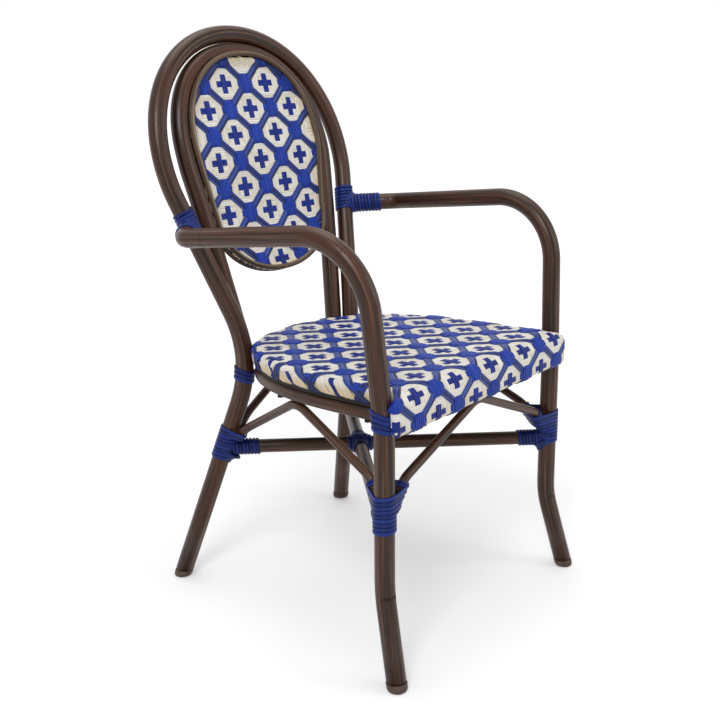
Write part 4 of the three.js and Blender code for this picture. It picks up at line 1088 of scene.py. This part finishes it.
# Woven back: columns and rows as counted on the chair, and each strand turned over the frame rod at its end
rod_line = oval_outline(panel_behind, PANEL_ROD)
rod_line = np.vstack([rod_line, rod_line[:1]])
PLAIN_RIM, CLOTH_PAST_ROD = 14, 4.2
ROD_RISE, RIM_SHADE = (-11, -1), (-16, -2)
back_lattice = Lattice(x0=2.0, y0=416.9, across=48.2, along=44.1, strands_across=13, strands_along=12,
                       plain_at=lambda x, y: beyond_line(rod_line, x, y)[0] > -PLAIN_RIM)
cloth_line = oval_outline(panel_behind, PANEL_ROD, -CLOTH_PAST_ROD)
off_heights = np.linspace(rod_line[:, 1].min() - 10, rod_line[:, 1].max() + 10, 400)
off_values = np.array([ring_off(v, panel_behind) for v in off_heights])
OVER_ROD = PANEL_ROD / 2 + 1.2


def lay_back(u, v, h):
    d = beyond_line(rod_line, u, v)[0]
    on_rod = np.sqrt(OVER_ROD ** 2 - np.clip(d, 0, OVER_ROD - 0.1) ** 2)
    over = np.where(d < 0, OVER_ROD * smooth_share(d, *ROD_RISE), on_rod)
    off = np.interp(v, off_heights, off_values) - h - over
    # The second value is painted shade: strands darker towards the rim, where the cloth turns over the frame rod
    return hoop_point(u, v, off).T, 0.7 * smooth_share(d, *RIM_SHADE)


back_paths = woven_paths(back_lattice, cloth_line.min(0) - 4, cloth_line.max(0) + 4,
                         lambda x, y, heading: in_polygon(cloth_line, x, y))
weave_pieces("oval_weave", back_paths, lay_back, "back_weave_panel", [("cream", ["cream_across", "cream_along"])])

# Woven seat: one cloth over the flat top, down the rolled sides and back, and down the drop at the front
seat_lattice = Lattice(x0=5.0, y0=14.0, across=44.3, along=48.7, strands_across=12, strands_along=13)
top_z = RAIL_TUBE / 2 + WEAVE["lift"] + WEAVE["thick"] - 1.2
edge_r, front_r = WEAVE["edge_radius"], WEAVE["front_radius"]
fall_start = SEAT["front"] + front_r
bottom_r = WEAVE["apron_thick"] / 2
side_bottom_r = 6.0
SIDE_WALL = WEAVE["thick"] - edge_r - side_bottom_r
SIDE_LENGTH = edge_r * math.pi / 2 + SIDE_WALL + side_bottom_r * math.pi / 2 + 5
FACE = WEAVE["apron_drop"] - front_r - bottom_r
FRONT_LENGTH = front_r * math.pi / 2 + FACE + bottom_r * math.pi + 4
FRONT_CLOSER = 0.8
seat_edge = seat_outline(0, -400.0, steps=160)
WIDENED = dict(starts=110, ends=190, share=0.07, shift=3.5)
EAR_SPREAD, EAR_ROLL, EAR_CUT, EAR_SHORTER = (2, 24), (0, 20), (0, 18), 26
EAR_TUCK = dict(turn=0.57, straight=6)
EDGE_SHADE, KEPT_BESIDE_EDGE = (0, 12), 3.0
LEAN = dict(forward=0.7, bunch=6.0, from_edge=8.0)


def widened(x, y):
    """Columns spread a little towards the front, where the cloth is wider than the seat."""
    share = smooth_share(-y, WIDENED["starts"], WIDENED["ends"])
    return x * (1 + WIDENED["share"] * share) + WIDENED["shift"] * share


def ear_end(s):
    """Half width of the cloth on the front, where its ears spread past the seat and in front of the legs."""
    return SEAT["half_width"] + (SEAT["ear_half_width"] - SEAT["half_width"]) * smooth_share(s, *EAR_SPREAD)


def rolled_edge(s, h, roll, wall, lower, lower_turn):
    """Reach out past the wall and height of a place on cloth that runs over a roll, down a wall, round a lower roll
    and straight on: s along the cloth and h over it. Then how far outwards and upwards the cloth faces there."""
    a = np.clip(s / roll, 0, math.pi / 2)
    s = s - roll * math.pi / 2
    b = np.clip((s - wall) / lower, 0, lower_turn)
    end = np.clip(s - wall - lower * lower_turn, 0, None)
    on_roll = [(roll + h) * np.sin(a) - roll, top_z - roll + (roll + h) * np.cos(a) - np.clip(s, 0, wall), np.sin(a),
               np.cos(a)]
    on_lower = [(lower + h) * np.cos(b) - lower - end * math.sin(lower_turn),
                top_z - roll - wall - (lower + h) * np.sin(b) - end * math.cos(lower_turn), np.cos(b), -np.sin(b)]
    return np.where(b > 0, on_lower, on_roll)


def lay_seat(x, y, h):
    wide = widened(x, y)
    s = (fall_start - y) * FRONT_CLOSER
    # Sides and back, where the strands lean to the front on their way down and draw together in bunches
    distance, foot, out = beyond_line(seat_edge, wide, y)
    e = distance + edge_r
    low = np.clip(e - LEAN["from_edge"], 0, None)
    wave = np.sin((foot[:, 1] - seat_lattice.y0) * 2 * math.pi / seat_lattice.along)
    slide = (LEAN["forward"] * low + LEAN["bunch"] * low / SIDE_LENGTH * wave) * np.abs(out[:, 0])
    ahead = np.stack([out[:, 0] * out[:, 1], out[:, 1] ** 2 - 1])
    reach, side_z, _, _ = rolled_edge(e, h, edge_r, SIDE_WALL, side_bottom_r, math.pi / 2)
    side = np.where(e > 0, [*(foot.T + out.T * reach + ahead * slide), side_z], [wide, y, top_z + h])
    # Front roll, face and ears
    reach, front_z, outward, upward = rolled_edge(np.maximum(s, 0), h, front_r, FACE, bottom_r, math.pi)
    front_y = SEAT["front"] - reach
    wrap = bottom_r + (edge_r - bottom_r) * (1 - smooth_share(s, *EAR_ROLL))
    ear = ear_end(s) - wrap
    e = np.abs(wide) - ear
    q = np.clip(e / wrap, 0, math.pi / 2)
    sink = (wrap + h) * (1 - np.cos(q)) + np.clip(e - wrap * math.pi / 2, 0, None)
    round_ear = [np.sign(wide) * (ear + (wrap + h) * np.sin(q)), front_y + outward * sink, front_z - upward * sink]
    front = np.where(e > 0, round_ear, [wide, front_y, front_z])
    # Painted shade: strands darken down the lower front face, and past the seat's edge down the rolled sides and back
    front_shade = 0.35 * smooth_share(s, FRONT_LENGTH * 0.55, FRONT_LENGTH * 0.8)
    return tilted(np.where(s > 0, front, side).T), np.where(s > 0, front_shade, smooth_share(distance, *EDGE_SHADE))


def on_seat_cloth(x, y, heading):
    """Whether a strand that runs in that direction still shows there, and hasn't ended under the seat's edge."""
    x, y = (np.array(v, float) for v in np.broadcast_arrays(x, y))
    wide = widened(x, y)
    s = (fall_start - y) * FRONT_CLOSER
    distance, _, out = beyond_line(seat_edge, wide, y)
    beside = np.abs(out @ [math.cos(heading), math.sin(heading)]) < 0.5
    side_ok = distance < np.where(beside, KEPT_BESIDE_EDGE, SIDE_LENGTH - edge_r)
    limit = ear_end(s) + bottom_r * EAR_TUCK["turn"] + EAR_TUCK["straight"]
    limit = limit + (SIDE_LENGTH - EAR_SHORTER) * (1 - smooth_share(s, *EAR_CUT))
    front_ok = (s < FRONT_LENGTH) & (np.abs(wide) < limit)
    return np.where(s > 0, front_ok, side_ok)


seat_paths = woven_paths(seat_lattice, (-250, fall_start - FRONT_LENGTH / FRONT_CLOSER - 6), (250, 285),
                         on_seat_cloth)
weave_pieces("seat_weave", seat_paths, lay_seat, "seat_weave",
             [("cream_across", ["cream_across"]), ("cream_along", ["cream_along"])])

# CAD nodes that keep their shape
# The seat frame's near-black also paints the shadow line between the weave and the rail
for name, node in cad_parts.items():
    for start, finish in (("seat_frame", shadow_black_metal), ("seat_crossbar", shadow_black_metal),
                          ("seat_screw", shadow_black_metal), ("inner_hoop_plug", rubber)):
        if name.startswith(start):
            for slot in node.material_slots:
                slot.material = finish

# Floor, light and camera
floor_mesh = bpy.data.meshes.new("studio_floor")
floor_mesh.from_pydata([(-9, -9, 0), (9, -9, 0), (9, 9, 0), (-9, 9, 0)], [], [(0, 1, 2, 3)])
studio_floor = bpy.data.objects.new("studio_floor", floor_mesh)
bpy.context.scene.collection.objects.link(studio_floor)


def seen_directly(tree):
    """1 for what the camera, a reflection or glass sees, and 0 for light that falls on the chair."""
    rays = add(tree, "ShaderNodeLightPath")
    seen = add(tree, "ShaderNodeMath", {0: rays["Is Camera Ray"], 1: rays["Is Glossy Ray"]}, operation="MAXIMUM")[0]
    return add(tree, "ShaderNodeMath", {0: seen, 1: rays["Is Transmission Ray"]}, operation="MAXIMUM")[0]


FLOOR_GLOW = (0.2, 0.55)
WORLD_STRENGTH = (0.62, 1.0)


def floor_steps(tree):
    """Matt pale floor that keeps the chair's shadow and fades to white away from it."""
    place = add(tree, "ShaderNodeTexCoord")["Object"]
    away = add(tree, "ShaderNodeVectorMath", {0: place}, operation="LENGTH")["Value"]
    glow = add(tree, "ShaderNodeMapRange", {"Value": away, "From Min": 0.6, "From Max": 3.0, "To Min": FLOOR_GLOW[0],
                                            "To Max": FLOOR_GLOW[1]})[0]
    glow = add(tree, "ShaderNodeMath", {0: glow, 1: seen_directly(tree)}, operation="MULTIPLY")[0]
    grain = grain_share(tree, place, (300, 300, 300), 3.0)[1]
    return {"Base Color": linear("#f4f4f5"), "Roughness": 0.9, "Specular IOR Level": 0.1,
            "Emission Color": linear("#ffffff"), "Emission Strength": glow}, (grain, 0.0001, 0.05)


floor_mesh.materials.append(finished("pale_studio_floor", floor_steps))

world = bpy.data.worlds.new("studio")
bpy.context.scene.world = world
world.use_nodes = True
level = add(world.node_tree, "ShaderNodeMapRange", {"Value": seen_directly(world.node_tree),
                                                    "To Min": WORLD_STRENGTH[0], "To Max": WORLD_STRENGTH[1]})[0]
fill(world.node_tree, world.node_tree.nodes["Background"], {"Color": linear("#ffffff"), "Strength": level})


def softbox(name, place, aim, size, power):
    lamp = bpy.data.lights.new(name, "AREA")
    lamp.shape = "RECTANGLE"
    lamp.size, lamp.size_y = size
    lamp.energy = power
    holder = bpy.data.objects.new(name, lamp)
    holder.location = place
    holder.rotation_euler = (Vector(aim) - Vector(place)).to_track_quat("-Z", "Y").to_euler()
    bpy.context.scene.collection.objects.link(holder)


softbox("key_softbox", place=(-1.9, -1.0, 2.6), aim=(0, 0, 0.5), size=(1.0, 1.0), power=32)
softbox("fill_softbox", place=(1.2, -2.4, 1.6), aim=(0, 0, 0.45), size=(1.2, 1.2), power=12)
softbox("top_softbox", place=(0.2, 0.4, 2.8), aim=(0, 0, 0.4), size=(1.4, 1.4), power=14)

camera_data = bpy.data.cameras.new("camera")
camera_data.lens, camera_data.sensor_width = 51.64, 36.0
camera_data.shift_x, camera_data.shift_y = -0.0552, -0.0762
camera = bpy.data.objects.new("camera", camera_data)
azimuth, elevation, distance = math.radians(-51.59), math.radians(13.91), 1.6652
target = Vector((0, -0.09705, 0.4966))
back = Vector((math.sin(azimuth) * math.cos(elevation), -math.cos(azimuth) * math.cos(elevation),
               math.sin(elevation)))
camera.location = target + back * distance
camera.rotation_euler = back.to_track_quat("Z", "Y").to_euler()
bpy.context.scene.collection.objects.link(camera)
bpy.context.scene.camera = camera
bpy.context.scene.view_settings.view_transform = "Standard"
